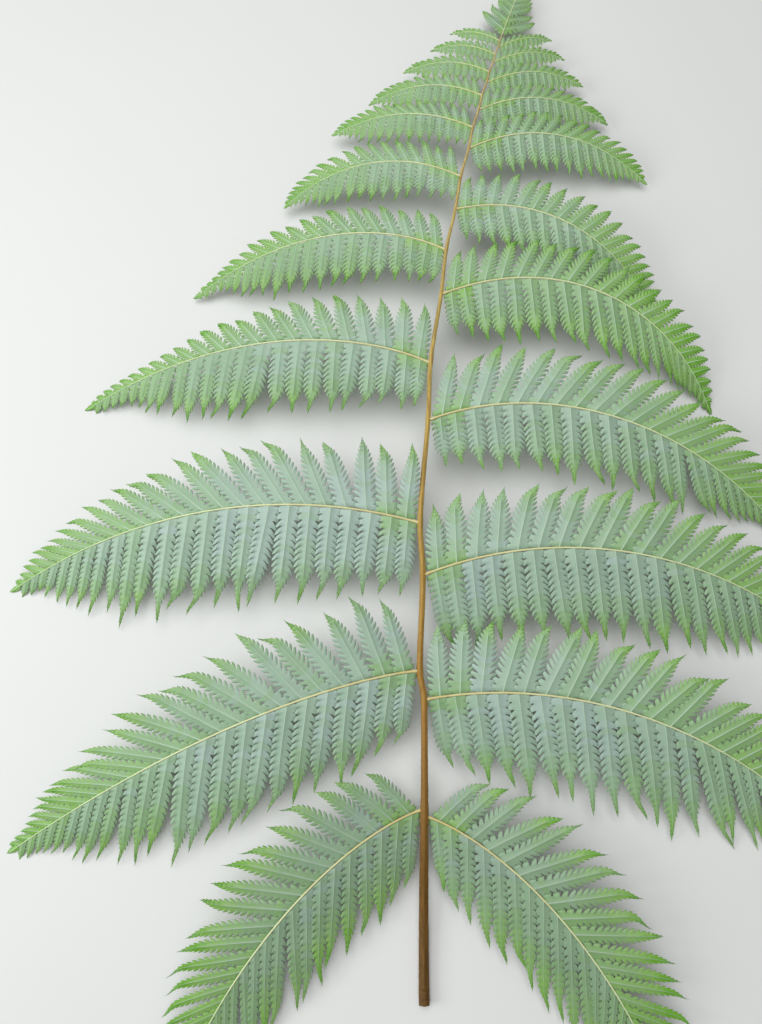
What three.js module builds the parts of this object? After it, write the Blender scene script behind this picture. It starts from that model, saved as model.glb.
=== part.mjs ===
// One frond of a young tree fern, cut off flat near the foot of its stalk and laid face up on level ground.
// Lengths are in millimetres and angles in degrees. The origin is the centre of the cut, +Y runs up the
// frond to its tip, +Z is up, and the ground is level with the underside of the stalk.

import * as THREE from 'three';

// Stalk (stipe) and midrib (rachis)
const FROND_LENGTH = 962;
const STIPE_LENGTH = 122;
const TIP_START = 868;
const CUT_RADIUS = 4.0;
const RACHIS_RADIUS = 3.2;
const RACHIS_END_RADIUS = 0.9;
const RACHIS_TAPER = 1.25;
const TIP_END_RADIUS = 0.4;
const FLOOR = -CUT_RADIUS;
const CLEARANCE = 0.3;
const TIP_CLEARANCE = 0.6;

// The midrib's bow off the ground, its bend to one side, and its zigzag from one pinna to the next
const BOW_HEIGHT = 40;
const BOW_LENGTH = 985;
const FOOT_LENGTH = 150;
const SIDE_BEND_START = 290;
const SIDE_BEND = 0.00027;
const ZIGZAG = 1.6;

// Pinnae from the foot upwards: where each leaves the midrib, its length, the angle at which it leaves
// (0 is square to the frond, and more leans to its tip) and how far it then bends back to the foot. A lower
// curve bends it sooner. Some have rules of their own in upper and lower: how long their leaflets are and
// where they are fullest, how they shorten to the pinna's tip (more taper draws it out), and how they turn.
const LOWEST = {
  upper: { longest: 0.254, shortfall: 0.4, fall: 3, upright: 52 },
  lower: { longest: 0.3, taper: 1, fall: 2.6, turn: -2 },
};
const LEFT_PINNAE = [
  { at: 136, length: 266, lean: -16, bend: 50, curve: 0.6, ...LOWEST },
  {
    at: 239, length: 345, lean: -4, bend: 29, curve: 0.5,
    upper: { longest: 0.21, fullest: 0.45, shortfall: 0.2, fall: 1.6, upright: 72, backLean: 10 },
    lower: { longest: 0.258, fall: 1.8, taper: 1.2 },
  },
  {
    at: 357, length: 352, lean: 15, bend: 45,
    upper: { longest: 0.175, fall: 2.6, backLean: 12 },
    lower: { longest: 0.235 },
  },
  {
    at: 497, length: 312, lean: 27, bend: 51, curve: 0.6,
    upper: { longest: 0.152, fullest: 0.05, fall: 1.5, upright: 96, fanPower: 1.1, backLean: 6 },
    lower: { taper: 2.2 },
  },
  {
    at: 608, length: 238, lean: 30, bend: 59, curve: 0.6,
    upper: { longest: 0.13, fall: 2 },
    lower: { taper: 2 },
  },
  { at: 688, length: 172, lean: 26, bend: 60 },
  { at: 746, length: 136, lean: 24, bend: 40 },
  { at: 786, length: 110, lean: 24, bend: 42 },
  { at: 817, length: 84, lean: 26, bend: 36 },
  { at: 841, length: 64, lean: 28, bend: 30 },
  { at: 860, length: 50, lean: 31, bend: 24 },
];
const RIGHT_PINNAE = [
  { at: 131, length: 264, lean: -16, bend: 52, curve: 0.6, ...LOWEST },
  {
    at: 218, length: 345, lean: 10, bend: 55,
    upper: { longest: 0.17, backLean: 8 },
    lower: { longest: 0.246 },
  },
  {
    at: 315, length: 352, lean: 21, bend: 58,
    upper: { longest: 0.16, upright: 98, fanPower: 1.1 },
    lower: { longest: 0.21, shortfall: 0.15 },
  },
  {
    at: 445, length: 336, lean: 21, bend: 68, curve: 0.8,
    upper: { longest: 0.168, upright: 84 },
    lower: { longest: 0.185 },
  },
  { at: 563, length: 286, lean: 20, bend: 88, curve: 1.1, upper: { longest: 0.14, fall: 2.6 } },
  { at: 651, length: 214, lean: 11, bend: 72 },
  { at: 721, length: 180, lean: 26, bend: 62 },
  { at: 768, length: 130, lean: 25, bend: 48 },
  { at: 803, length: 98, lean: 26, bend: 40 },
  { at: 830, length: 74, lean: 28, bend: 33 },
  { at: 851, length: 57, lean: 30, bend: 26 },
];
const CURVE = 0.92;
const LONGEST_PINNA = 352;

// How a pinna lies: it arches up, then droops, and its side towards the frond's tip is held higher
const ARCH_HEIGHT = 9;
const DROOP_POWER = 2.2;
const DROOP_SHARE = 0.15;
const SHINGLE_TILT = 12;
const CURL = 0.05;

// A pinna's rib (costa), thick at the midrib and thin at its tip
const COSTA_WIDTH = 3.0;
const COSTA_END_WIDTH = 0.8;
const COSTA_THICKNESS = 2.8;
const COSTA_END_THICKNESS = 0.9;

// Leaflets (pinnules) along both sides of a costa. Lengths are shares of the costa's, and the first leaflet
// on each side, beside the midrib, is narrower than the rest. Upper ones stand up the frond beside the
// midrib, where the first lean back a little to it, and fan outward along the costa. Lower ones point down
// the frond, turned out a little.
const BLADE_THICKNESS = 0.9;
const FIRST_PINNULE = 1.8;
const PINNULE_PITCH = 16.6;
const PITCH_POWER = 0.6;
const PITCH_TIGHTENING = 0.5;
const PITCH_TIGHTENS_FROM = 0.5;
const LOWER_PINNULES = {
  longest: 0.2, fullest: 0.42, shortfall: 0.35, fall: 2.8, taper: 1.6, firstWidth: 0.62, turn: 5,
};
const UPPER_PINNULES = {
  longest: 0.15, fullest: 0.3, shortfall: 0.06, fall: 4, taper: 1, firstWidth: 0.87,
  upright: 92, fanPower: 0.9, backLean: 0,
};
const PINNULE_WIDTH_SHARE = 0.9;
const SHOULDER = 0.58;
const TIP_SWEEP = 3;
const SMALLEST_SHOULDERED = 9;
const SMALLEST_PINNULE = 2.2;

// How far the leaflets turn along a costa, and the least angle that they keep to it
const UPPER_FAN = 76;
const UPPER_FAN_REACH = 0.8;
const BACK_LEAN_REACH = 0.25;
const UPPER_ANGLE_MIN = 38;
const FIRST_TURN = 5;
const FIRST_TURN_REACH = 0.12;
const LOWER_TURN_END = 14;
const LOWER_TURN_FROM = 0.45;
const LOWER_TURN_OVER = 0.35;
const LOWER_ANGLE_MIN = 36;

// The frond's tip: the midrib runs out between lobes that shrink to nothing
const TIP_LOBE_LENGTH = 38;
const TIP_LOBE_PITCH = 14;
const TIP_LOBE_ANGLE = 56;
const TIP_LOBE_FALL = 0.85;
const TIP_LOBE_DROOP = 0.08;
const TIP_SHRINK = 0.87;

const HEADING_STEPS = 120;
const RIM_SIDES = 12;
const RING_SPACING = 12;

const rad = THREE.MathUtils.degToRad;
const mix = THREE.MathUtils.lerp;
const clamp01 = (value) => Math.min(1, Math.max(0, value));
const smooth = (value) => THREE.MathUtils.smoothstep(value, 0, 1);

// The lowest pair stands almost opposite, so the zigzag starts at the pinna above it
const NODES = [
  ...LEFT_PINNAE.slice(1).map((pinna) => ({ y: pinna.at, side: -1 })),
  ...RIGHT_PINNAE.slice(1).map((pinna) => ({ y: pinna.at, side: 1 })),
].sort((a, b) => a.y - b.y);

// Radius of the stalk and midrib at a distance up the frond
function stemRadius(y) {
  if (y < STIPE_LENGTH) return mix(CUT_RADIUS, RACHIS_RADIUS, y / STIPE_LENGTH);
  if (y < TIP_START) {
    const share = (y - STIPE_LENGTH) / (TIP_START - STIPE_LENGTH);
    return mix(RACHIS_RADIUS, RACHIS_END_RADIUS, share ** RACHIS_TAPER);
  }
  return mix(RACHIS_END_RADIUS, TIP_END_RADIUS, clamp01((y - TIP_START) / (FROND_LENGTH - TIP_START)));
}

// Sideways step of the midrib: it leans to each pinna in turn
function zigzag(y) {
  const next = NODES.findIndex((node) => node.y > y);
  if (next === 0) return NODES[0].side * ZIGZAG * smooth(y / NODES[0].y);
  const fade = clamp01((FROND_LENGTH - y) / (FROND_LENGTH - NODES[0].y));
  const last = NODES[NODES.length - 1];
  if (next < 0) return last.side * ZIGZAG * fade * (1 - smooth((y - last.y) / (FROND_LENGTH - last.y)));
  const before = NODES[next - 1];
  const share = smooth((y - before.y) / (NODES[next].y - before.y));
  return mix(before.side, NODES[next].side, share) * ZIGZAG * fade;
}

// Centre line of the stalk and midrib
function stemPoint(y) {
  const bend = SIDE_BEND * Math.max(0, y - SIDE_BEND_START) ** 2;
  const along = y / BOW_LENGTH;
  const bow = 4 * BOW_HEIGHT * along * (1 - along) * smooth(y / FOOT_LENGTH);
  return new THREE.Vector3(bend + zigzag(y), y, bow);
}

// A closed solid gathered from points and triangles
class SolidBuilder {
  constructor(mirrored = false) {
    this.positions = [];
    this.triangles = [];
    this.mirrored = mirrored;
  }

  point(x, y, z) {
    this.positions.push(x, y, z);
    return this.positions.length / 3 - 1;
  }

  triangle(a, b, c) {
    if (this.mirrored) this.triangles.push(a, c, b);
    else this.triangles.push(a, b, c);
  }

  geometry() {
    const geometry = new THREE.BufferGeometry();
    geometry.setAttribute('position', new THREE.Float32BufferAttribute(this.positions, 3));
    geometry.setIndex(this.triangles);
    return geometry;
  }
}

// A tapering round stem between two distances up the frond, with flat ends and a ring at each pinna
function stemGeometry(start, end) {
  const solid = new SolidBuilder();
  const stops = [start, ...NODES.map((node) => node.y).filter((y) => y > start && y < end), end];
  const heights = [start];
  for (let index = 1; index < stops.length; index += 1) {
    const from = stops[index - 1];
    const steps = Math.ceil((stops[index] - from) / RING_SPACING);
    for (let step = 1; step <= steps; step += 1) heights.push(mix(from, stops[index], step / steps));
  }
  const rings = heights.length - 1;
  for (const y of heights) {
    const centre = stemPoint(y);
    for (let side = 0; side < RIM_SIDES; side += 1) {
      const turn = rad((360 * (side + 0.5)) / RIM_SIDES);
      const radius = stemRadius(y) / Math.cos(Math.PI / RIM_SIDES);
      solid.point(centre.x + radius * Math.cos(turn), y, centre.z + radius * Math.sin(turn));
    }
  }
  const last = rings * RIM_SIDES;
  for (let side = 0; side < RIM_SIDES; side += 1) {
    const beside = (side + 1) % RIM_SIDES;
    for (let ring = 0; ring < rings; ring += 1) {
      const low = ring * RIM_SIDES;
      const high = low + RIM_SIDES;
      solid.triangle(low + side, high + side, high + beside);
      solid.triangle(low + side, high + beside, low + beside);
    }
    if (side > 0 && side < RIM_SIDES - 1) {
      solid.triangle(0, side, side + 1);
      solid.triangle(last, last + side + 1, last + side);
    }
  }
  return solid.geometry();
}

// Course of a pinna's costa in plan, out from the midrib: point and heading at a distance along it
function costaCourse({ length, lean, bend, curve = CURVE }, start) {
  const step = length / HEADING_STEPS;
  const headingAt = (share) => rad(lean - bend * clamp01(share) ** curve);
  const course = [{ x: start.x, y: start.y }];
  for (let index = 0; index < HEADING_STEPS; index += 1) {
    const heading = headingAt((index + 0.5) / HEADING_STEPS);
    const last = course[index];
    course.push({ x: last.x + step * Math.cos(heading), y: last.y + step * Math.sin(heading) });
  }
  return (distance) => {
    const place = Math.min(HEADING_STEPS, Math.max(0, distance / step));
    const index = Math.min(HEADING_STEPS - 1, Math.floor(place));
    const from = course[index];
    const to = course[index + 1];
    const share = place - index;
    const heading = headingAt(distance / length);
    return { x: mix(from.x, to.x, share), y: mix(from.y, to.y, share), heading };
  };
}

// Where the valleys between leaflets lie along a costa, closer together towards its tip
function costaValleys(length, pitch, thin, firstWidth) {
  const places = [FIRST_PINNULE * thin];
  let place = places[0] + pitch * firstWidth;
  while (place < length - SMALLEST_PINNULE) {
    places.push(place);
    const late = clamp01((place / length - PITCH_TIGHTENS_FROM) / (1 - PITCH_TIGHTENS_FROM));
    place += pitch * (1 - PITCH_TIGHTENING * late);
  }
  return places;
}

// Length of the leaflet at a share of the way along a costa, as a share of the costa's length
function pinnuleLength({ longest, fullest, shortfall, fall, taper }, share) {
  if (share < fullest) return longest * (1 - shortfall * ((fullest - share) / fullest) ** 2);
  return longest * (1 - ((share - fullest) / (1 - fullest)) ** fall) ** taper;
}

// Angle between a leaflet and its costa, at a share of the way along it
function upperAngle({ upright, fanPower, backLean }, share, heading) {
  const fanned = UPPER_FAN * clamp01(share / UPPER_FAN_REACH) ** fanPower;
  const back = backLean * (1 - clamp01(share / BACK_LEAN_REACH));
  return Math.max(rad(UPPER_ANGLE_MIN), rad(upright + back - fanned) - heading);
}

function lowerAngle(pinnules, share, heading) {
  const start = mix(FIRST_TURN, pinnules.turn, clamp01(share / FIRST_TURN_REACH));
  const late = smooth((share - LOWER_TURN_FROM) / LOWER_TURN_OVER);
  const turn = mix(start, LOWER_TURN_END, late);
  return Math.max(rad(LOWER_ANGLE_MIN), rad(90 - turn) + heading);
}

// A thin blade cut to its rib between the leaflets. The rib's course is drawn in plan, a leaflet's reach
// and angle are taken from its costa or midrib, and side mirrors the plan for the left of the frond.
function bladeGeometry({ length, side, ribAt, heightAt, liftAt, ribWidth, ribThickness, edges }) {
  const solid = new SolidBuilder(side < 0);

  // A point of the upper face and the one under it, no lower than the ground
  function pair(x, y, height, thickness) {
    const z = Math.max(height, FLOOR + thickness / 2);
    const top = solid.point(side * x, y, z + thickness / 2);
    solid.point(side * x, y, z - thickness / 2);
    return top;
  }

  function ribEdge(distance, flank) {
    const at = ribAt(distance);
    const half = ribWidth(distance / length) / 2;
    const x = at.x - flank * half * Math.sin(at.heading);
    const y = at.y + flank * half * Math.cos(at.heading);
    return pair(x, y, heightAt(distance), ribThickness(distance / length));
  }

  function leafPoint(root, flank, angle, reach, offset) {
    const at = ribAt(root);
    const along = reach * Math.cos(angle) + offset * Math.sin(angle);
    const across = flank * (reach * Math.sin(angle) - offset * Math.cos(angle));
    const x = at.x + along * Math.cos(at.heading) - across * Math.sin(at.heading);
    const y = at.y + along * Math.sin(at.heading) + across * Math.cos(at.heading);
    return pair(x, y, heightAt(root + along) + liftAt(across), BLADE_THICKNESS);
  }

  // How much the leaflets on either side of one lean together, on the inside of a bent costa
  function closing(near, far, flank, angleAt) {
    const turn = (place) => flank * ribAt(place).heading + angleAt(place / length, ribAt(place).heading);
    return Math.max(0, turn(far) - turn(near));
  }

  function face(a, b, c) {
    solid.triangle(a, b, c);
    solid.triangle(a + 1, c + 1, b + 1);
  }

  const end = pair(ribAt(length).x, ribAt(length).y, heightAt(length), ribThickness(1));
  const strips = {};
  const rims = {};
  for (const [name, flank] of [['lower', -1], ['upper', 1]]) {
    const { places, angleAt, reachAt } = edges[name];
    const strip = [{ at: 0, point: ribEdge(0, flank) }];
    const rim = [strip[0].point];
    places.forEach((place) => strip.push({ at: place, point: ribEdge(place, flank) }));
    for (let index = 1; index < strip.length; index += 1) {
      const near = strip[index];
      rim.push(near.point);
      const far = strip[index + 1];
      if (far) {
        const root = (near.at + far.at) / 2;
        const share = root / length;
        const reach = reachAt(share);
        const angle = angleAt(share, ribAt(root).heading);
        const lost = closing(near.at, far.at, flank, angleAt) * reach * SHOULDER;
        const half = (((far.at - near.at) * Math.sin(angle) - lost) * PINNULE_WIDTH_SHARE) / 2;
        const tip = leafPoint(root, flank, angle - rad(TIP_SWEEP), reach, 0);
        if (reach > SMALLEST_SHOULDERED) {
          const inner = leafPoint(root, flank, angle, reach * SHOULDER, -half);
          const outer = leafPoint(root, flank, angle, reach * SHOULDER, half);
          rim.push(inner, tip, outer);
          if (flank > 0) {
            face(near.point, far.point, outer);
            face(near.point, outer, inner);
            face(inner, outer, tip);
          } else {
            face(near.point, outer, far.point);
            face(near.point, inner, outer);
            face(inner, tip, outer);
          }
        } else {
          rim.push(tip);
          if (flank > 0) face(near.point, far.point, tip);
          else face(near.point, tip, far.point);
        }
      }
    }
    strip.push({ at: length, point: end });
    strips[name] = strip;
    rims[name] = rim;
  }

  // The rib itself, zipped between its two edges
  let low = 0;
  let high = 0;
  while (low < strips.lower.length - 1 || high < strips.upper.length - 1) {
    const below = strips.lower[low];
    const above = strips.upper[high];
    const nextBelow = strips.lower[low + 1];
    const nextAbove = strips.upper[high + 1];
    if (!nextAbove || (nextBelow && nextBelow.at <= nextAbove.at)) {
      if (nextBelow.point !== above.point) face(below.point, nextBelow.point, above.point);
      low += 1;
    } else {
      if (nextAbove.point !== below.point) face(below.point, nextAbove.point, above.point);
      high += 1;
    }
  }

  // The edge all round
  const loop = [...rims.lower, end, ...rims.upper.reverse()];
  loop.forEach((point, index) => {
    const next = loop[(index + 1) % loop.length];
    solid.triangle(point, point + 1, next + 1);
    solid.triangle(point, next + 1, next);
  });
  return solid.geometry();
}

// One pinna: its costa starts a hair clear of the midrib and carries leaflets on both sides
function pinnaGeometry(pinna, side) {
  const { at, length, lean } = pinna;
  const root = stemPoint(at);
  const share = length / LONGEST_PINNA;
  const thin = Math.sqrt(share);
  const slope = (side * (stemPoint(at + 1).x - stemPoint(at - 1).x)) / 2;
  const askew = Math.abs(Math.sin(rad(lean)) + slope * Math.cos(rad(lean)));
  const reachOut = (stemRadius(at) + CLEARANCE) * Math.hypot(1, slope) + (COSTA_WIDTH * thin * askew) / 2;
  const start = { x: side * root.x + reachOut, y: at };
  const tipHeight = Math.max(FLOOR + BLADE_THICKNESS, root.z - DROOP_SHARE * length);
  const pitch = PINNULE_PITCH * share ** PITCH_POWER;
  const tilt = Math.tan(rad(SHINGLE_TILT));
  const edge = (pinnules, angleAt) => ({
    places: costaValleys(length, pitch, thin, pinnules.firstWidth),
    reachAt: (way) => length * pinnuleLength(pinnules, way),
    angleAt: (way, heading) => angleAt(pinnules, way, heading),
  });
  return bladeGeometry({
    length,
    side,
    ribAt: costaCourse(pinna, start),
    heightAt: (distance) => {
      const way = clamp01(distance / length);
      return mix(root.z, tipHeight, way ** DROOP_POWER) + ARCH_HEIGHT * share * Math.sin(Math.PI * way);
    },
    liftAt: (across) => tilt * across - (CURL * across ** 2) / (length * LOWER_PINNULES.longest),
    ribWidth: (way) => mix(COSTA_WIDTH * thin, COSTA_END_WIDTH, way),
    ribThickness: (way) => mix(COSTA_THICKNESS * thin, COSTA_END_THICKNESS, way),
    edges: {
      lower: edge({ ...LOWER_PINNULES, ...pinna.lower }, lowerAngle),
      upper: edge({ ...UPPER_PINNULES, ...pinna.upper }, upperAngle),
    },
  });
}

// The frond's tip: the midrib goes on between two rows of lobes that shrink to nothing
function tipGeometry() {
  const length = FROND_LENGTH - TIP_START;
  const places = [];
  let place = CLEARANCE;
  for (let pitch = TIP_LOBE_PITCH; place < length - SMALLEST_PINNULE; pitch *= TIP_SHRINK) {
    places.push(place);
    place += pitch;
  }
  const edge = {
    places,
    reachAt: (share) => TIP_LOBE_LENGTH * (1 - share) ** TIP_LOBE_FALL,
    angleAt: () => rad(TIP_LOBE_ANGLE),
  };
  const start = TIP_START + TIP_CLEARANCE;
  const stemAt = (distance) => stemPoint(start + (length - TIP_CLEARANCE) * (distance / length));
  return bladeGeometry({
    length,
    side: 1,
    ribAt: (distance) => {
      const here = stemAt(distance);
      const ahead = stemAt(distance + 1);
      return { x: here.x, y: here.y, heading: Math.atan2(ahead.y - here.y, ahead.x - here.x) };
    },
    heightAt: (distance) => stemAt(Math.min(distance, length)).z,
    liftAt: (across) => -TIP_LOBE_DROOP * Math.abs(across),
    ribWidth: (way) => 2 * mix(RACHIS_END_RADIUS, TIP_END_RADIUS, way),
    ribThickness: (way) => mix(2 * RACHIS_END_RADIUS, BLADE_THICKNESS, way),
    edges: { lower: edge, upper: edge },
  });
}

const stipeFinish = new THREE.MeshStandardMaterial({ color: 0x5c4520, roughness: 0.8, metalness: 0 });
const rachisFinish = new THREE.MeshStandardMaterial({ color: 0xb08a42, roughness: 0.55, metalness: 0 });
const pinnaFinish = new THREE.MeshStandardMaterial({ color: 0x86ad80, roughness: 0.5, metalness: 0 });
const tipFinish = new THREE.MeshStandardMaterial({ color: 0x9cc07a, roughness: 0.5, metalness: 0 });

const frond = new THREE.Group();

function addPiece(name, geometry, material) {
  const mesh = new THREE.Mesh(geometry, material);
  mesh.name = name;
  frond.add(mesh);
}

addPiece('stipe', stemGeometry(0, STIPE_LENGTH - CLEARANCE), stipeFinish);
addPiece('rachis', stemGeometry(STIPE_LENGTH, TIP_START), rachisFinish);
for (const [name, side, pinnae] of [['left', -1, LEFT_PINNAE], ['right', 1, RIGHT_PINNAE]]) {
  pinnae.forEach((pinna, index) => {
    const number = String(index + 1).padStart(2, '0');
    addPiece(`pinna_${name}_${number}`, pinnaGeometry(pinna, side), pinnaFinish);
  });
}
addPiece('frond_tip', tipGeometry(), tipFinish);

export default frond;
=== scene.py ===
# One frond of a young tree fern, cut off flat near the foot of its stalk and laid face up on a level
# surface. The packed solids are its frame. Stalk, ribs and leaflets grow over them by the same rules,
# carried one step finer, and papery scales stand on the stalk. Lengths are in metres and angles in
# degrees. +Y runs up the frond to its tip and +Z is up.

import functools
import math

import bpy
import numpy as np
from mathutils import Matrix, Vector, noise


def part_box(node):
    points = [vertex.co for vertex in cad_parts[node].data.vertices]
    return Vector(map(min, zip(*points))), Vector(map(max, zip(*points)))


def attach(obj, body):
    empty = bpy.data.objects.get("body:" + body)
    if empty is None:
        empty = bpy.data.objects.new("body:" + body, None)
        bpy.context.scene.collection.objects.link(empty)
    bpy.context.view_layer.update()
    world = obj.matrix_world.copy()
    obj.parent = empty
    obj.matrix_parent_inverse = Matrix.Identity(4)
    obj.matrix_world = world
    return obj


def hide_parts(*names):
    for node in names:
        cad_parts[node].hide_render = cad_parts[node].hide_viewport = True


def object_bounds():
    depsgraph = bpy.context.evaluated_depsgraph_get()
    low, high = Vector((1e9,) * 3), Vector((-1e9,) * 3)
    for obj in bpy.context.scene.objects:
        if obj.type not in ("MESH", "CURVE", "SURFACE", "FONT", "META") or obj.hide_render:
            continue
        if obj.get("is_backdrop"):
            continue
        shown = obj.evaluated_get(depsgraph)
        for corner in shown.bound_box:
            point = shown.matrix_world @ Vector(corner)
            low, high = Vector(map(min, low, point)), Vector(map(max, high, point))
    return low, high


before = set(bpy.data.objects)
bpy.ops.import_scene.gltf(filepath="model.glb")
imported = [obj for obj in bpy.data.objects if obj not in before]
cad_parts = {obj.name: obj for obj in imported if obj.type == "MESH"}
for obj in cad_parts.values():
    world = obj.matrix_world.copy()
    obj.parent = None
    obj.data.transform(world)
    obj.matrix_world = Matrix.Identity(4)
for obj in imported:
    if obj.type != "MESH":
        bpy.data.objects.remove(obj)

bl_info = {
    "name": "Tree Fern Frond",
    "version": (1, 0, 0),
    "blender": (4, 5, 0),
    "location": "3D View > Sidebar > Fern Frond",
    "description": "Grows a cut frond of a young tree fern over its packed solids",
    "category": "Add Mesh",
}

CAD_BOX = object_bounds()
BODY = "root"
MILLIMETRE = 0.001
SHARP_ANGLE = 60

# Read off the packed solids
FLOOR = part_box("stipe")[0].z
CUT_RADIUS = -FLOOR
STIPE_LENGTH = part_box("rachis")[0].y
TIP_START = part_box("rachis")[1].y
FROND_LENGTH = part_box("frond_tip")[1].y

# Stalk (stipe) and midrib (rachis)
RACHIS_RADIUS = 0.0032
RACHIS_END_RADIUS = 0.0009
RACHIS_TAPER = 1.25
TIP_END_RADIUS = 0.0004
TIP_CLEARANCE = 0.0006
CLEARANCE = 0.0003
BOW_HEIGHT = 0.040
BOW_LENGTH = 0.985
FOOT_LENGTH = 0.150
SIDE_BEND_START = 0.290
SIDE_BEND = 0.27
ZIGZAG = 0.0016

# Pinnae from the foot upwards: where each leaves the midrib, its length, the angle at which it leaves
# (0 is square to the frond, and more leans to its tip) and how far it then bends back to the foot. A lower
# curve bends it sooner. Some have rules of their own in upper and lower: how long and broad their leaflets
# are, where they are fullest, how they shorten to the pinna's tip, and how they turn. Youth makes a pinna's
# leaf fresher than its height up the frond does.
LOWEST = {
    "upper": {"longest": 0.254, "shortfall": 0.4, "fall": 3, "upright": 52, "green_end": 3},
    "lower": {"longest": 0.3, "taper": 1, "fall": 2.6, "turn": -2, "tail": 0.44, "green_end": 2.4},
}
LEFT_PINNAE = [
    {"at": 0.136, "length": 0.266, "lean": -16, "bend": 50, "curve": 0.6, "youth": 0.12, **LOWEST},
    {"at": 0.239, "length": 0.345, "lean": -4, "bend": 29, "curve": 0.5,
     "upper": {"longest": 0.21, "fullest": 0.45, "shortfall": 0.2, "fall": 1.6, "upright": 72,
               "back_lean": 10},
     "lower": {"longest": 0.258, "fall": 1.8, "taper": 1.2}},
    {"at": 0.357, "length": 0.352, "lean": 15, "bend": 45, "youth": -0.1,
     "upper": {"longest": 0.175, "fall": 2.6, "back_lean": 12},
     "lower": {"longest": 0.235}},
    {"at": 0.497, "length": 0.312, "lean": 27, "bend": 51, "curve": 0.6,
     "upper": {"longest": 0.152, "fullest": 0.05, "fall": 1.5, "upright": 96, "fan_power": 1.1,
               "back_lean": 6},
     "lower": {"taper": 2.2}},
    {"at": 0.608, "length": 0.238, "lean": 30, "bend": 59, "curve": 0.6, "youth": 0.06,
     "upper": {"longest": 0.13, "fall": 2},
     "lower": {"taper": 2}},
    {"at": 0.688, "length": 0.172, "lean": 26, "bend": 60},
    {"at": 0.746, "length": 0.136, "lean": 24, "bend": 40},
    {"at": 0.786, "length": 0.110, "lean": 24, "bend": 42},
    {"at": 0.817, "length": 0.084, "lean": 26, "bend": 36},
    {"at": 0.841, "length": 0.064, "lean": 28, "bend": 30},
    {"at": 0.860, "length": 0.050, "lean": 31, "bend": 24},
]
RIGHT_PINNAE = [
    {"at": 0.131, "length": 0.264, "lean": -16, "bend": 52, "curve": 0.6, "youth": 0.14, **LOWEST},
    {"at": 0.218, "length": 0.345, "lean": 10, "bend": 55,
     "upper": {"longest": 0.17, "back_lean": 8, "breadth": 1.3},
     "lower": {"longest": 0.246}},
    {"at": 0.315, "length": 0.352, "lean": 21, "bend": 58,
     "upper": {"longest": 0.16, "upright": 98, "fan_power": 1.1, "breadth": 1.3},
     "lower": {"longest": 0.21, "shortfall": 0.15}},
    {"at": 0.445, "length": 0.336, "lean": 21, "bend": 68, "curve": 0.8,
     "upper": {"longest": 0.168, "upright": 84, "breadth": 1.26},
     "lower": {"longest": 0.185}},
    {"at": 0.563, "length": 0.286, "lean": 20, "bend": 88, "curve": 1.1, "youth": 0.16,
     "upper": {"longest": 0.14, "fall": 2.6}},
    {"at": 0.651, "length": 0.214, "lean": 11, "bend": 72},
    {"at": 0.721, "length": 0.180, "lean": 26, "bend": 62},
    {"at": 0.768, "length": 0.130, "lean": 25, "bend": 48},
    {"at": 0.803, "length": 0.098, "lean": 26, "bend": 40},
    {"at": 0.830, "length": 0.074, "lean": 28, "bend": 33},
    {"at": 0.851, "length": 0.057, "lean": 30, "bend": 26},
]
SIDES = (("left", -1, LEFT_PINNAE), ("right", 1, RIGHT_PINNAE))

# The usual curve, the length that other sizes are scaled from, and which pinnae are joined in one piece
CURVE = 0.92
LONGEST_PINNA = 0.352
PINNA_GROUPS = ((0, 1), (1, 3), (3, 5), (5, 11))

# How a pinna lies: it arches up, then droops, and its side towards the frond's tip is held higher
ARCH_HEIGHT = 0.009
DROOP_POWER = 2.2
DROOP_SHARE = 0.15
SHINGLE_TILT = 12
CURL = 0.05

# A pinna's rib (costa)
COSTA_WIDTH = 0.0030
COSTA_END_WIDTH = 0.0008
COSTA_THICKNESS = 0.0028
COSTA_END_THICKNESS = 0.0009
COURSE_STEPS = 120

# Leaflets (pinnules) along both sides of a costa. Lengths are shares of the costa's: less by the shortfall
# at its root, longest at the fullest place and less again past it, later with a higher fall and to a
# finer tip with more taper. Upper ones stand up the frond beside the midrib, where the first lean back a
# little to it, and fan outward along the costa. Lower ones point down the frond, turned out a little. A
# leaflet is full to its waist, narrows by its shape to the end of its body, and is drawn out past it in a
# slender tail. Hook turns its point outward, costule is the width of its own rib, and a lower green end
# spreads the vivid green of its point further down it. Tip youth is how much younger the last leaflets
# look, and the power that they grow younger by.
BLADE_THICKNESS = 0.0009
FIRST_PINNULE = 0.0018
PINNULE_PITCH = 0.0166
PITCH_POWER = 0.6
PITCH_TIGHTENING = 0.5
PITCH_TIGHTENS_FROM = 0.5
LOWER_PINNULES = {
    "longest": 0.2, "fullest": 0.42, "shortfall": 0.35, "fall": 2.8, "taper": 1.6,
    "first_width": 0.62, "turn": 5,
    "breadth": 1.14, "waist": 0.35, "body": 0.84, "shape": (3.6, 1.0), "tail": 0.34, "hook": 0.03,
    "costule": 0.0008, "green_end": 3.5, "tip_youth": (0.45, 2.5),
}
UPPER_PINNULES = {
    "longest": 0.15, "fullest": 0.3, "shortfall": 0.06, "fall": 4, "taper": 1,
    "first_width": 0.87, "upright": 92, "fan_power": 0.9, "back_lean": 0,
    "breadth": 1.18, "waist": 0.2, "body": 0.96, "shape": (2.7, 1.05), "tail": 0.2, "hook": 0.06,
    "costule": 0.0011, "green_end": 4, "tip_youth": (0.85, 1.7),
}

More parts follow.
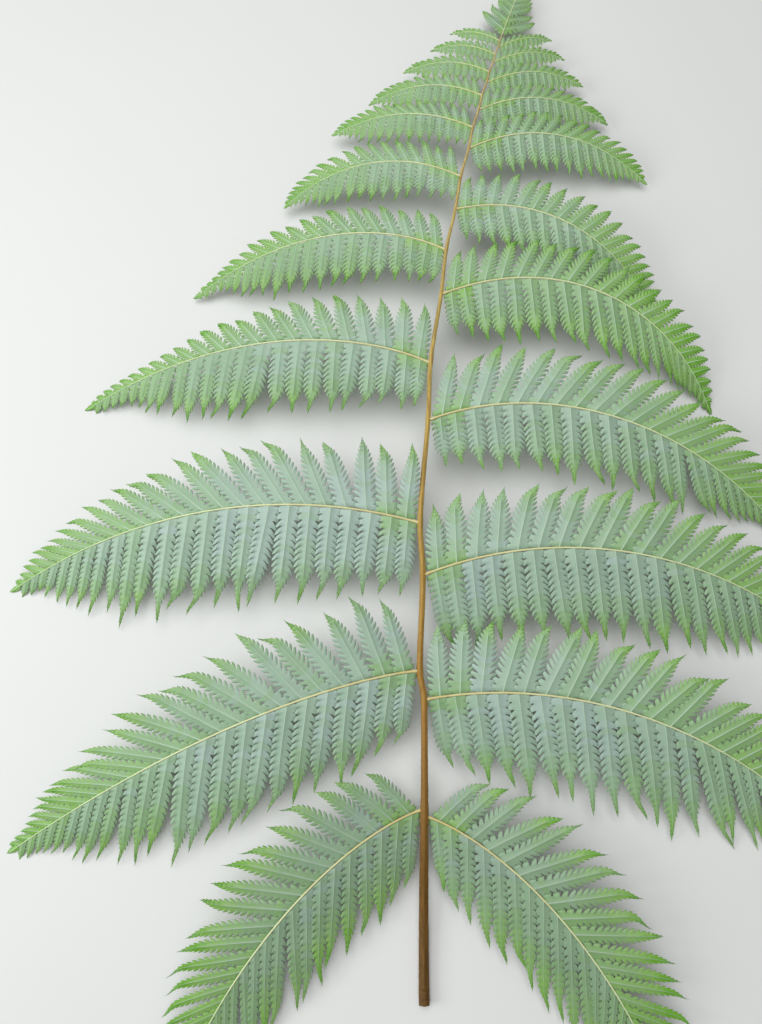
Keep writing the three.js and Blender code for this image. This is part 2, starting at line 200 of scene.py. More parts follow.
# How the leaflets share the room along a costa. Each leans forward by its shoulder's share of the sweep.
# Where neighbours close up they give up width, and the outer ones are slender. A last leaflet covers the
# costa's end.
SHOULDER = 0.58
TIP_SWEEP = 3
LEAST_WIDTH = 0.85
CROWDING = 0.35
SLENDER_ENDS = 0.16
SLENDER_FROM = 0.4
LAST_REACH = 0.75
SMALLEST_PINNULE = 0.0022
END_REACH = 0.011
END_OVERLAP = 0.8
END_HALF_WIDTH = 0.0024

# How far the leaflets turn along a costa, and the least angle that they keep to it
UPPER_FAN = 76
UPPER_FAN_REACH = 0.8
BACK_LEAN_REACH = 0.25
UPPER_ANGLE_MIN = 38
FIRST_TURN = 5
FIRST_TURN_REACH = 0.12
LOWER_TURN_END = 14
LOWER_TURN_FROM = 0.45
LOWER_TURN_OVER = 0.35
LOWER_ANGLE_MIN = 36

# The frond's tip: the midrib runs out between lobes that shrink to nothing
TIP_LOBE_LENGTH = 0.038
TIP_LOBE_PITCH = 0.014
TIP_LOBE_ANGLE = 56
TIP_LOBE_FALL = 0.85
TIP_LOBE_DROOP = 0.08
TIP_SHRINK = 0.87

# A leaflet's outline. It starts inside the pinna's rib, and its foot is skewed along that rib. Other places
# are shares of its length, and widths are shares of its full half width.
START_IN_RIB = 0.4
START_LIMIT = 0.3
BASE_WIDTH = 0.92
BASE_REACH = 0.05
TAIL_REACH = 0.3
TAIL_POWER = 0.7
TAIL_BLEND = 3
SKEW_REACH = 3
HOOK_FROM = 0.7

# How a leaflet is cut: slits part its segments, which lie closer and are cut less deeply towards its point.
# A segment leans forward, except beside the pinna's rib. It is widest at its foot and ends bluntly in a
# forward point.
FULL_SIZE_LEAFLET = 0.075
SEGMENT_TIGHTENING = 0.45
SEGMENTS_TIGHTEN_FROM = 0.55
SEGMENT_PITCH_SPAN = (0.42, 1.1)
TAIL_SHARE = 0.04
SLIT_FADE = 0.9
SLIT_FADES_FROM = 0.45
FIRST_SLITS = 0.2
FIRST_SLITS_SHALLOWER = 0.5
LESS_CUT = 0.5
LESS_CUT_POWER = 3
BASE_LEAN = 0.2
BASE_LEAN_REACH = 0.018
BASE_LEAN_LIMIT = 0.3
SEGMENT_ROWS = np.array([0.35, 0.7, 0.92])
SEGMENT_FULLNESS = np.array([0.8, 0.68, 0.42])
FIRST_FULLNESS = np.array([0.98, 0.92, 0.74])
FIRST_SEGMENTS = 2
SEGMENT_FORWARD = 0.42
POINTS_PER_SEGMENT = 3 * len(SEGMENT_ROWS) + 2
RIB, BLADE = 0, 1

# Relief of a segment, as shares of its bulge, and of the leaflet's own rib. Narrow leaflets have less.
SINUS_DROP = 0.6
VEIN_RISE = 0.9
EDGE_DROP = 0.45
POINT_DROP = 0.8
COSTULE_TAPER = 0.7
COSTULE_RISE = 0.0003
FULL_RELIEF_HALF_WIDTH = 0.007

# How each leaflet strays from the rules: in its twist, sideways bend, sag, hook, body and level
SHINGLE_TWIST = 0.07
TWIST_SPREAD = 0.035
BEND_FROM_HOOK = 0.3
BEND_SPREAD = 0.022
SAG_SPREAD = 0.012
HOOK_SPREAD = 0.035
BODY_SPREAD = 0.025
LEVEL_SPREAD = 0.0004
LEVEL_REACH = 0.3
PINNA_SEEDS = {"left": 100, "right": 300}
TIP_SEED = 7

# Least heights above the floor, of a leaflet's plane and of any point of its upper face
GROUND_ALLOWANCE = 0.0009
FACE_ALLOWANCE = 0.0004

# Shades of green, dealt out by youth: 0 is the oldest grey-green and 1 the vivid green of the points. The
# first leaflets of a pinna carry painted backlight at their feet, a vivid green where light shines through
# them, and the lowest pinnae carry painted shade, darker where the pinnae above shadow them.
LEAF_SHADES = 9
COSTULE_SLOT = LEAF_SHADES
UNDER_SLOT = LEAF_SHADES + 1
HEIGHT_YOUTH = 0.38
HEIGHT_YOUTH_POWER = 2.2
PLAIN_YOUTH = 0.04
YOUTH_SPREAD = 0.03
TIP_LOBE_YOUTH = (0.3, 0.6)
TIP_LOBE_YOUTH_SPREAD = 0.05
POINT_YOUTH = 1.1
POINT_YOUTH_RANGE = (0.55, 1.15)
SEGMENT_YOUTH_SPREAD = 0.02
BACKLIT_FOOT = 0.4
BACKLIT_FOOT_SHARE = 0.35
BACKLIT_FOOT_REACH = 0.03
# Painted shade: the lowest pinnae are darkened as if shadowed by the pinnae above them.
LOWEST_SHADE_GAIN = 0.8

# How the ribs are drawn: swollen where they leave the midrib, slimmer than in the solids except at the tip,
# with a groove along the top. A rib's age on its shades grows towards its tip and up the frond.
RIB_SHADES = 8
RIB_ROOT_PALENESS = 0.35
RIB_AGE_AT_TIP = 0.35
RIB_AGE_AT_END = 0.8
RIB_SIDES = 10
RIB_SPACING = 0.004
RIB_LEAST_RINGS = 24
RIB_ROOT_RINGS = 4
RIB_ROOT_DEPTH = 0.8
RIB_SLIMNESS = 0.64
RIB_TIP_SLIMNESS = 1.1
RIB_SWELLING = 0.45
RIB_SWELLING_REACH = 2.5
RIB_GROOVE_DEPTH = 0.22
RIB_GROOVE_WIDTH = 0.4
TIP_RIB_RINGS = 40

# How the stalk and midrib are drawn: two grooves at these angles, small warts and a swelling at each pinna
STEM_SIDES = 28
STEM_SPACING = 0.0018
STEM_SLIMNESS = 0.82
STEM_SLIMS_FROM = 0.08
STEM_SLIM_AT = 0.2
STEM_GROOVES = (58, 122)
STEM_GROOVE_WIDTH = 13
SWELLING_REACH = 0.005
WART_FREQUENCY = np.array([900, 350, 900])

# Vascular bundles in the cut face
BUNDLE_COUNT = 11
BUNDLE_SIDES = 8
BUNDLE_RING_RADIUS = 0.0025
BUNDLE_RADIUS = 0.00032
BUNDLE_RELIEF = 0.00004

# Papery scales on the stalk and the lower midrib, longer and closer together towards the foot
SCALES_START = 0.002
SCALES_REACH = 0.62
SCALE_CROWDING = 1.7
SCALE_SHORTEST = 0.2
SCALE_SHORTENING = 2.5
SCALE_LENGTHS = (0.5, 1)
SCALE_WIDTHS = (0.1, 0.18)
SCALE_TURNS = (-25, 205)
SCALE_LIFTS = (0.05, 0.32)
SCALE_STRAY = 0.45
SCALE_ROOT_DEPTH = 0.94
SCALE_WAIST = 0.4
SCALE_HALF_THICKNESS = 0.00006
SCALE_FACES = [(1, 0, 4), (2, 1, 4), (3, 2, 4), (0, 3, 4), (0, 1, 5), (1, 2, 5), (2, 3, 5), (3, 0, 5)]
PALE_SCALES = 0.3
SCALE_SEED = 21

# The stage
CAMERA_PLACE = (-0.0318, 0.20365, 0.640)
CAMERA_TILT = 15
CAMERA_LENS = 27.04
CAMERA_SENSOR = 36
NEAREST_SEEN = 0.01
FLOOR_SIZE = 8
SKY_TINT = (0.95, 0.98, 1.0)
OVERHEAD_LAMP = {"place": (-0.25, 0.75, 1.75), "size": 1.6, "aim": (0, 0.42, 0), "tint": (0.96, 0.98, 1.0)}
SIDE_LAMP = {"place": (-1.5, 0.1, 0.95), "size": 0.9, "aim": (0, 0.4, 0), "tint": (0.93, 0.98, 1.0)}


def mix(start, end, share):
    return start + (end - start) * share


def past(share, start, end=1):
    """How far a share has gone from a start to an end, from 0 to 1."""
    return np.clip((share - start) / (end - start), 0, 1)


def smooth(value):
    value = np.clip(value, 0, 1)
    return value * value * (3 - 2 * value)


def srgb(*channels):
    """A colour given in display values of 0 to 255, as the linear values that a shader takes."""
    scaled = [channel / 255 for channel in channels]
    return tuple(c / 12.92 if c <= 0.04045 else ((c + 0.055) / 1.055) ** 2.4 for c in scaled)


def colour(value):
    """A colour socket as it is, or a plain colour with its alpha."""
    return value if isinstance(value, bpy.types.NodeSocket) else (*tuple(value)[:3], 1)


def shaded(value, gain, warm=1.0):
    """A plain colour made lighter or darker, and warmer or cooler."""
    red, green, blue = tuple(value)[:3]
    channels = (red * gain * warm, green * gain, blue * gain / warm)
    return tuple(min(1, max(0, channel)) for channel in channels)


def toward(first, second, share):
    """A plain colour on the way from one to another."""
    return tuple(mix(a, b, share) for a, b in zip(first, second))


def between(stops, share):
    """A plain colour between those at stops of (place, colour)."""
    for (low, first), (high, second) in zip(stops, stops[1:]):
        if share <= high:
            return toward(first, second, (share - low) / (high - low))
    return tuple(stops[-1][1])


# Sizes and colours that a user would change

def colour_choice(name, description, *channels):
    """A colour that a user can change, given in display values."""
    return bpy.props.FloatVectorProperty(
        name=name, description=description, subtype="COLOR", min=0, max=1, default=srgb(*channels))


class LeafletShape(bpy.types.PropertyGroup):
    """How each leaflet is cut, cupped and turned."""

    segment_pitch: bpy.props.FloatProperty(
        name="Segment spacing", description="Distance between segments on a full-sized leaflet",
        default=0.0049, min=0.001, unit="LENGTH")
    slit_depth: bpy.props.FloatProperty(
        name="Slit depth", description="How far the slits reach from the edge to the leaflet's rib",
        default=0.65, min=0.05, max=0.9, subtype="FACTOR")
    segment_angle: bpy.props.FloatProperty(
        name="Segment angle", description="Angle between a segment and the leaflet's rib",
        default=math.radians(66), subtype="ANGLE")
    width_share: bpy.props.FloatProperty(
        name="Leaflet width", description="Share of the room between its neighbours that a leaflet fills",
        default=1.03, min=0.5, max=1.2, subtype="FACTOR")
    thickness: bpy.props.FloatProperty(
        name="Leaf thickness", description="Thickness of the blade",
        default=0.0003, min=0.0001, unit="LENGTH")
    bulge: bpy.props.FloatProperty(
        name="Segment bulge", description="How far the middle of a segment stands above its edges",
        default=0.0007, unit="LENGTH")
    edge_droop: bpy.props.FloatProperty(
        name="Edge droop", description="How far the leaflet's edges hang, as a share of its half width",
        default=0.1, subtype="FACTOR")
    turn_spread: bpy.props.FloatProperty(
        name="Turn spread", description="How far leaflets stray from an even direction",
        default=math.radians(1.8), subtype="ANGLE")
    length_spread: bpy.props.FloatProperty(
        name="Length spread", description="How far leaflets stray from an even length",
        default=0.035, subtype="FACTOR")


class StalkShape(bpy.types.PropertyGroup):
    """Relief of the stalk and midrib, and the scales on them."""

    groove_depth: bpy.props.FloatProperty(
        name="Groove depth", description="Depth of the two grooves as a share of the stalk's radius",
        default=0.13, subtype="FACTOR")
    wart_height: bpy.props.FloatProperty(
        name="Wart height", description="Height of the small warts as a share of the stalk's radius",
        default=0.05, subtype="FACTOR")
    node_swelling: bpy.props.FloatProperty(
        name="Node swelling", description="How far the midrib swells where a pinna leaves it",
        default=0.12, subtype="FACTOR")
    scale_count: bpy.props.IntProperty(
        name="Scales", description="Number of papery scales on the stalk and midrib",
        default=900, min=1)
    scale_length: bpy.props.FloatProperty(
        name="Scale length", description="Length of the longest scales, at the foot",
        default=0.0034, unit="LENGTH")


class FrondColours(bpy.types.PropertyGroup):
    """Plain colours of the leaf, ribs, stalk and scales."""

    mature_leaf: colour_choice("Mature leaf", "Grey-green of most leaflets", 150, 172, 160)
    middle_leaf: colour_choice("Middle leaf", "Soft green between old and young", 130, 163, 118)
    young_leaf: colour_choice("Young leaf", "Yellow-green at the ends of the pinnae", 126, 168, 84)
    leaf_point: colour_choice("Leaflet point", "Vivid green of the leaflets' points", 98, 156, 26)
    leaf_underside: colour_choice("Underside", "Paler green of the lower face", 112, 140, 98)
    costule: colour_choice("Leaflet rib", "Pale green of the rib down each leaflet", 164, 188, 160)
    costa: colour_choice("Pinna rib", "Pale yellow of each pinna's rib", 212, 216, 168)
    costa_tip: colour_choice("Pinna rib's end", "Yellow-green of a pinna's rib at its tip", 168, 198, 140)
    rachis: colour_choice("Midrib", "Golden tan of the midrib", 190, 159, 76)
    stipe: colour_choice("Stalk", "Brown of the bare stalk", 92, 62, 6)
    pith: colour_choice("Pith", "Pale middle of the cut", 186, 178, 128)
    scale: colour_choice("Scale", "Dark brown of the papery scales", 70, 43, 14)


class StageSettings(bpy.types.PropertyGroup):
    """The plain floor and the soft light."""

    floor_colour: colour_choice("Floor", "Colour of the floor", 216, 215, 211)
    sky_strength: bpy.props.FloatProperty(
        name="Sky", description="Strength of the even light from all around",
        default=0.3, min=0)
    overhead_power: bpy.props.FloatProperty(
        name="Overhead light", description="Power of the wide lamp above the frond",
        default=27, min=0, unit="POWER")
    side_power: bpy.props.FloatProperty(
        name="Side light", description="Power of the lamp to the left",
        default=16, min=0, unit="POWER")


# The midrib's course, as in the solids

NODES = sorted((pinna["at"], side) for name, side, pinnae in SIDES for pinna in pinnae[1:])
NODE_PLACES = np.array([0, *(place for place, side in NODES), FROND_LENGTH])
NODE_SIDES = np.array([0, *(side for place, side in NODES), 0])


def stem_radius(y):
    """Radius of the stalk and midrib at distances up the frond."""
    stipe = mix(CUT_RADIUS, RACHIS_RADIUS, y / STIPE_LENGTH)
    rachis = mix(RACHIS_RADIUS, RACHIS_END_RADIUS, past(y, STIPE_LENGTH, TIP_START) ** RACHIS_TAPER)
    tip = mix(RACHIS_END_RADIUS, TIP_END_RADIUS, past(y, TIP_START, FROND_LENGTH))
    return np.where(y < STIPE_LENGTH, stipe, np.where(y < TIP_START, rachis, tip))


def zigzag(y):
    """Sideways step of the midrib: it leans to each pinna in turn."""
    low = np.clip(np.searchsorted(NODE_PLACES, y, side="right") - 1, 0, len(NODE_PLACES) - 2)
    share = smooth((y - NODE_PLACES[low]) / (NODE_PLACES[low + 1] - NODE_PLACES[low]))
    fade = np.clip((FROND_LENGTH - y) / (FROND_LENGTH - NODE_PLACES[1]), 0, 1)
    return mix(NODE_SIDES[low], NODE_SIDES[low + 1], share) * ZIGZAG * fade


def stem_point(y):
    """Centre line of the stalk and midrib at distances up the frond."""
    y = np.asarray(y, float)
    bend = SIDE_BEND * np.maximum(0, y - SIDE_BEND_START) ** 2
    along = y / BOW_LENGTH
    bow = 4 * BOW_HEIGHT * along * (1 - along) * smooth(y / FOOT_LENGTH)
    return np.stack([bend + zigzag(y), y, bow], axis=-1)


# The ribs that leaflets stand along

class Rib:
    """A rib that leaflets stand along.

    Each kind gives its course in plan, its height and half sizes, and the lift of the blade beside it."""

    side = 1

    def place(self, root, flank, angle, reach, offset, rise):
        """Points at reaches along and offsets across a leaflet that leaves the rib at a root distance."""
        x, y, heading = self.course(root)
        along = reach * np.cos(angle) + offset * np.sin(angle)
        across = flank * (reach * np.sin(angle) - offset * np.cos(angle))
        level = np.maximum(self.height(root + along) + self.lift(across), FLOOR + GROUND_ALLOWANCE)
        return np.stack([
            self.side * (x + along * np.cos(heading) - across * np.sin(heading)),
            y + along * np.sin(heading) + across * np.cos(heading),
            np.maximum(level + rise, FLOOR + FACE_ALLOWANCE),
        ], axis=-1)


class Costa(Rib):
    """The rib of one pinna."""

    def __init__(self, pinna, side):
        self.pinna = pinna
        self.side = side
        self.at, self.length = pinna["at"], pinna["length"]
        self.lean, self.bend = math.radians(pinna["lean"]), math.radians(pinna["bend"])
        self.curve = pinna.get("curve", CURVE)
        self.share = self.length / LONGEST_PINNA
        self.thin = math.sqrt(self.share)
        root = stem_point(self.at)
        sideways = stem_point(self.at + MILLIMETRE)[0] - stem_point(self.at - MILLIMETRE)[0]
        slope = side * sideways / (2 * MILLIMETRE)
        askew = abs(math.sin(self.lean) + slope * math.cos(self.lean))
        reach_out = (float(stem_radius(self.at)) + CLEARANCE) * math.hypot(1, slope)
        self.root_height = root[2]
        self.tip_height = max(FLOOR + BLADE_THICKNESS, root[2] - DROOP_SHARE * self.length)
        step = self.length / COURSE_STEPS
        middles = self.heading((np.arange(COURSE_STEPS) + 0.5) / COURSE_STEPS)
        start_x = side * root[0] + reach_out + COSTA_WIDTH * self.thin * askew / 2
        self.places = np.linspace(0, self.length, COURSE_STEPS + 1)
        self.xs = start_x + np.concatenate([[0], np.cumsum(step * np.cos(middles))])
        self.ys = self.at + np.concatenate([[0], np.cumsum(step * np.sin(middles))])

    def heading(self, share):
        return self.lean - self.bend * np.clip(share, 0, 1) ** self.curve

    def course(self, distance):
        heading = self.heading(distance / self.length)
        inside = np.minimum(distance, 0)
        x = np.interp(distance, self.places, self.xs) + inside * math.cos(self.lean)
        y = np.interp(distance, self.places, self.ys) + inside * math.sin(self.lean)
        return x, y, heading

    def height(self, distance):
        way = np.clip(distance / self.length, 0, 1)
        arch = ARCH_HEIGHT * self.share * np.sin(np.pi * way)
        return mix(self.root_height, self.tip_height, way**DROOP_POWER) + arch

    def lift(self, across):
        curl = CURL * across**2 / (self.length * LOWER_PINNULES["longest"])
        return math.tan(math.radians(SHINGLE_TILT)) * across - curl

    def half_width(self, distance):
        return mix(COSTA_WIDTH * self.thin, COSTA_END_WIDTH, distance / self.length) / 2

    def half_thickness(self, distance):
        return mix(COSTA_THICKNESS * self.thin, COSTA_END_THICKNESS, distance / self.length) / 2


class TipRib(Rib):
    """The last of the midrib, between the lobes of the frond's tip."""

    length = FROND_LENGTH - TIP_START

    def course(self, distance):
        start = TIP_START + TIP_CLEARANCE
        run = (self.length - TIP_CLEARANCE) / self.length
        here = stem_point(start + run * distance)
        ahead = stem_point(start + run * (distance + MILLIMETRE))
        heading = np.arctan2(ahead[..., 1] - here[..., 1], ahead[..., 0] - here[..., 0])
        return here[..., 0], here[..., 1], heading

    def height(self, distance):
        return stem_point(TIP_START + np.minimum(distance, self.length))[..., 2]

    def lift(self, across):
        return -TIP_LOBE_DROOP * np.abs(across)

    def half_width(self, distance):
        return mix(RACHIS_END_RADIUS, TIP_END_RADIUS, distance / self.length)

    half_thickness = half_width


# Where the leaflets stand along a rib

def costa_valleys(costa, first_width):
    """Where the valleys between leaflets lie along a costa, closer together towards its tip."""
    pitch = PINNULE_PITCH * costa.share**PITCH_POWER
    places = [FIRST_PINNULE * costa.thin]
    place = places[0] + pitch * first_width
    while place < costa.length - SMALLEST_PINNULE:
        places.append(place)
        place += pitch * (1 - PITCH_TIGHTENING * past(place / costa.length, PITCH_TIGHTENS_FROM))
    return places


def tip_valleys():
    """Where the valleys between the lobes lie along the frond's tip."""
    places = []
    place = CLEARANCE
    pitch = TIP_LOBE_PITCH
    while place < TipRib.length - SMALLEST_PINNULE:
        places.append(place)
        place += pitch
        pitch *= TIP_SHRINK
    return places


def leaflet_length(rule, share):
    """Length of the leaflet at a share of the way along a costa, as a share of the costa's length."""
    fullest = rule["fullest"]
    if share < fullest:
        return rule["longest"] * (1 - rule["shortfall"] * ((fullest - share) / fullest) ** 2)
    falling = (1 - ((share - fullest) / (1 - fullest)) ** rule["fall"]) ** rule["taper"]
    return rule["longest"] * max(falling, LAST_REACH * math.sqrt(1 - share))


def upper_angle(rule, share, heading):
    """Angle between an upper leaflet and its costa, at a share of the way along it."""
    fanned = UPPER_FAN * min(1, share / UPPER_FAN_REACH) ** rule["fan_power"]
    back = rule["back_lean"] * (1 - min(1, share / BACK_LEAN_REACH))
    return max(math.radians(UPPER_ANGLE_MIN), math.radians(rule["upright"] + back - fanned) - heading)


def lower_angle(rule, share, heading):
    """Angle between a lower leaflet and its costa, at a share of the way along it."""
    start = mix(FIRST_TURN, rule["turn"], min(1, share / FIRST_TURN_REACH))
    turn = mix(start, LOWER_TURN_END, smooth((share - LOWER_TURN_FROM) / LOWER_TURN_OVER))
    return max(math.radians(LOWER_ANGLE_MIN), math.radians(90 - turn) + heading)


def leaflets_between(rib, flank, places, rule, reach_at, angle_at):
    """Yields the leaflet between each pair of valleys: where it stands, its direction, length and width."""
    def turn(place):
        heading = float(rib.course(place)[2])
        return flank * heading + angle_at(place / rib.length, heading)

    widest = max(far - near for near, far in zip(places, places[1:]))
    for near, far in zip(places, places[1:]):
        root = (near + far) / 2
        angle = angle_at(root / rib.length, float(rib.course(root)[2]))
        reach = reach_at(root / rib.length)
        lost = CROWDING * max(0, turn(far) - turn(near)) * reach * SHOULDER
        room = max(far - near, LEAST_WIDTH * widest) if near == places[0] else far - near
        slender = SLENDER_ENDS * smooth(past(root / rib.length, SLENDER_FROM))
        yield {
            **rule, "root": root, "flank": flank, "angle": angle - math.radians(TIP_SWEEP) * SHOULDER,
            "reach": reach, "half": (1 - slender) * rule["breadth"] * (room * math.sin(angle) - lost) / 2,
            "skew": 1 / math.tan(angle), "cut": 1 - LESS_CUT * (root / rib.length) ** LESS_CUT_POWER,
        }


def pinna_leaflets(costa):
    """Every leaflet of one pinna, lower side first, and the one that covers its end."""
    flanks = (("lower", -1, LOWER_PINNULES, lower_angle), ("upper", 1, UPPER_PINNULES, upper_angle))
    for name, flank, plain, angle_rule in flanks:
        rule = {**plain, **costa.pinna.get(name, {})}
        yield from leaflets_between(
            costa, flank, costa_valleys(costa, rule["first_width"]), rule,
            lambda share: costa.length * leaflet_length(rule, share),
            lambda share, heading: angle_rule(rule, share, heading))
    reach = END_REACH * costa.thin
    yield {
        **UPPER_PINNULES, "root": costa.length - END_OVERLAP * reach, "flank": 1, "angle": 0,
        "reach": reach, "half": END_HALF_WIDTH * costa.thin, "hook": 0, "skew": 0, "cut": 1 - LESS_CUT,
    }


def tip_leaflets(rib):
    """The lobes of the frond's tip."""
    for flank in (-1, 1):
        yield from leaflets_between(
            rib, flank, tip_valleys(), UPPER_PINNULES,
            lambda share: TIP_LOBE_LENGTH * (1 - share) ** TIP_LOBE_FALL,
            lambda share, heading: math.radians(TIP_LOBE_ANGLE))


# One leaflet, cut into segments

def open_rim(faces):
    """The edges that only one triangle has, and the triangle of each."""
    edges = faces[:, [0, 1, 1, 2, 2, 0]].reshape(-1, 2)
    there = {tuple(edge) for edge in edges.tolist()}
    rim = [index for index, (start, end) in enumerate(edges.tolist()) if (end, start) not in there]
    return edges[rim], np.array(rim) // 3


@functools.lru_cache(maxsize=None)
def leaflet_faces(count):
    """Triangles of a leaflet's upper face, with the segment and kind of each, and then its open rim.

    Count is the number of its pairs of segments. Its points are the rib's line, the tip, and then for each
    flank the rib's edge, the ends of the slits, and each segment's foot, rows and point."""
    tip = count + 1
    per_flank = 2 * (count + 1) + POINTS_PER_SEGMENT * count
    faces, segments, kinds = [], [], []
    for flank in (0, 1):
        edge = tip + 1 + flank * per_flank
        slit = edge + count + 1

        def add(kind, segment, first, second, third):
            faces.append((first, second, third) if flank == 0 else (first, third, second))
            segments.append(segment)
            kinds.append(kind)

        for index in range(count):
            foot = slit + count + 1 + POINTS_PER_SEGMENT * index
            add(RIB, index, index, index + 1, edge + index + 1)
            add(RIB, index, index, edge + index + 1, edge + index)
            add(BLADE, index, edge + index, edge + index + 1, foot)
            add(BLADE, index, edge + index, foot, slit + index)
            add(BLADE, index, edge + index + 1, slit + index + 1, foot)
            left, vein, right = slit + index, foot, slit + index + 1
            for row in range(len(SEGMENT_ROWS)):
                next_left = foot + 1 + 3 * row
                next_vein, next_right = next_left + 1, next_left + 2
                add(BLADE, index, left, vein, next_vein)
                add(BLADE, index, left, next_vein, next_left)
                add(BLADE, index, vein, right, next_right)
                add(BLADE, index, vein, next_right, next_vein)
                left, vein, right = next_left, next_vein, next_right
            point = foot + POINTS_PER_SEGMENT - 1
            add(BLADE, index, left, vein, point)
            add(BLADE, index, vein, right, point)
        add(RIB, count - 1, count, tip, edge + count)
        add(BLADE, count - 1, edge + count, tip, slit + count)
    faces = np.array(faces)
    return faces, np.array(segments), np.array(kinds), *open_rim(faces)


def outline(share, leaflet):
    """Half width of a leaflet along it, as a share of its full half width."""
    power, taper = leaflet["shape"]
    narrowing = past(share, leaflet["waist"], leaflet["body"]) ** power
    body = mix(BASE_WIDTH, 1, smooth(share / BASE_REACH)) * (1 - narrowing) ** taper
    tail = leaflet["tail"] * np.clip((1 - share) / TAIL_REACH, 0, 1) ** TAIL_POWER
    return (body**TAIL_BLEND + tail**TAIL_BLEND) ** (1 / TAIL_BLEND)


def segment_places(start, reach, shape):
    """Where the slits between segments meet the leaflet's rib."""
    pitch = shape.segment_pitch * np.clip(math.sqrt(reach / FULL_SIZE_LEAFLET), *SEGMENT_PITCH_SPAN)
    places = [start]
    while True:
        share = (places[-1] - start) / (reach - start)
        step = pitch * (1 - SEGMENT_TIGHTENING * smooth(past(share, SEGMENTS_TIGHTEN_FROM)))
        if places[-1] + step > reach * (1 - TAIL_SHARE) and len(places) > 2:
            return np.array(places)
        places.append(places[-1] + min(step, (reach - places[-1]) / 2))


def strayed(leaflet, shape, chance):
    """A leaflet with its own small departures from the rules."""
    reach = leaflet["reach"] * (1 + chance.normal(0, shape.length_spread))
    angle = leaflet["angle"] + chance.normal(0, shape.turn_spread)
    usual = (SHINGLE_TWIST, BEND_FROM_HOOK * leaflet["hook"], 0)
    twist, bend, sag = chance.normal(usual, (TWIST_SPREAD, BEND_SPREAD, SAG_SPREAD))
    hook = chance.normal(leaflet["hook"], HOOK_SPREAD)
    body = leaflet["body"] + chance.normal(0, BODY_SPREAD)
    level = chance.uniform(-LEVEL_SPREAD, LEVEL_SPREAD)
    return {
        **leaflet, "reach": reach, "angle": angle, "twist": twist, "bend": bend, "sag": abs(sag),
        "hook": hook, "body": body, "level": level,
    }


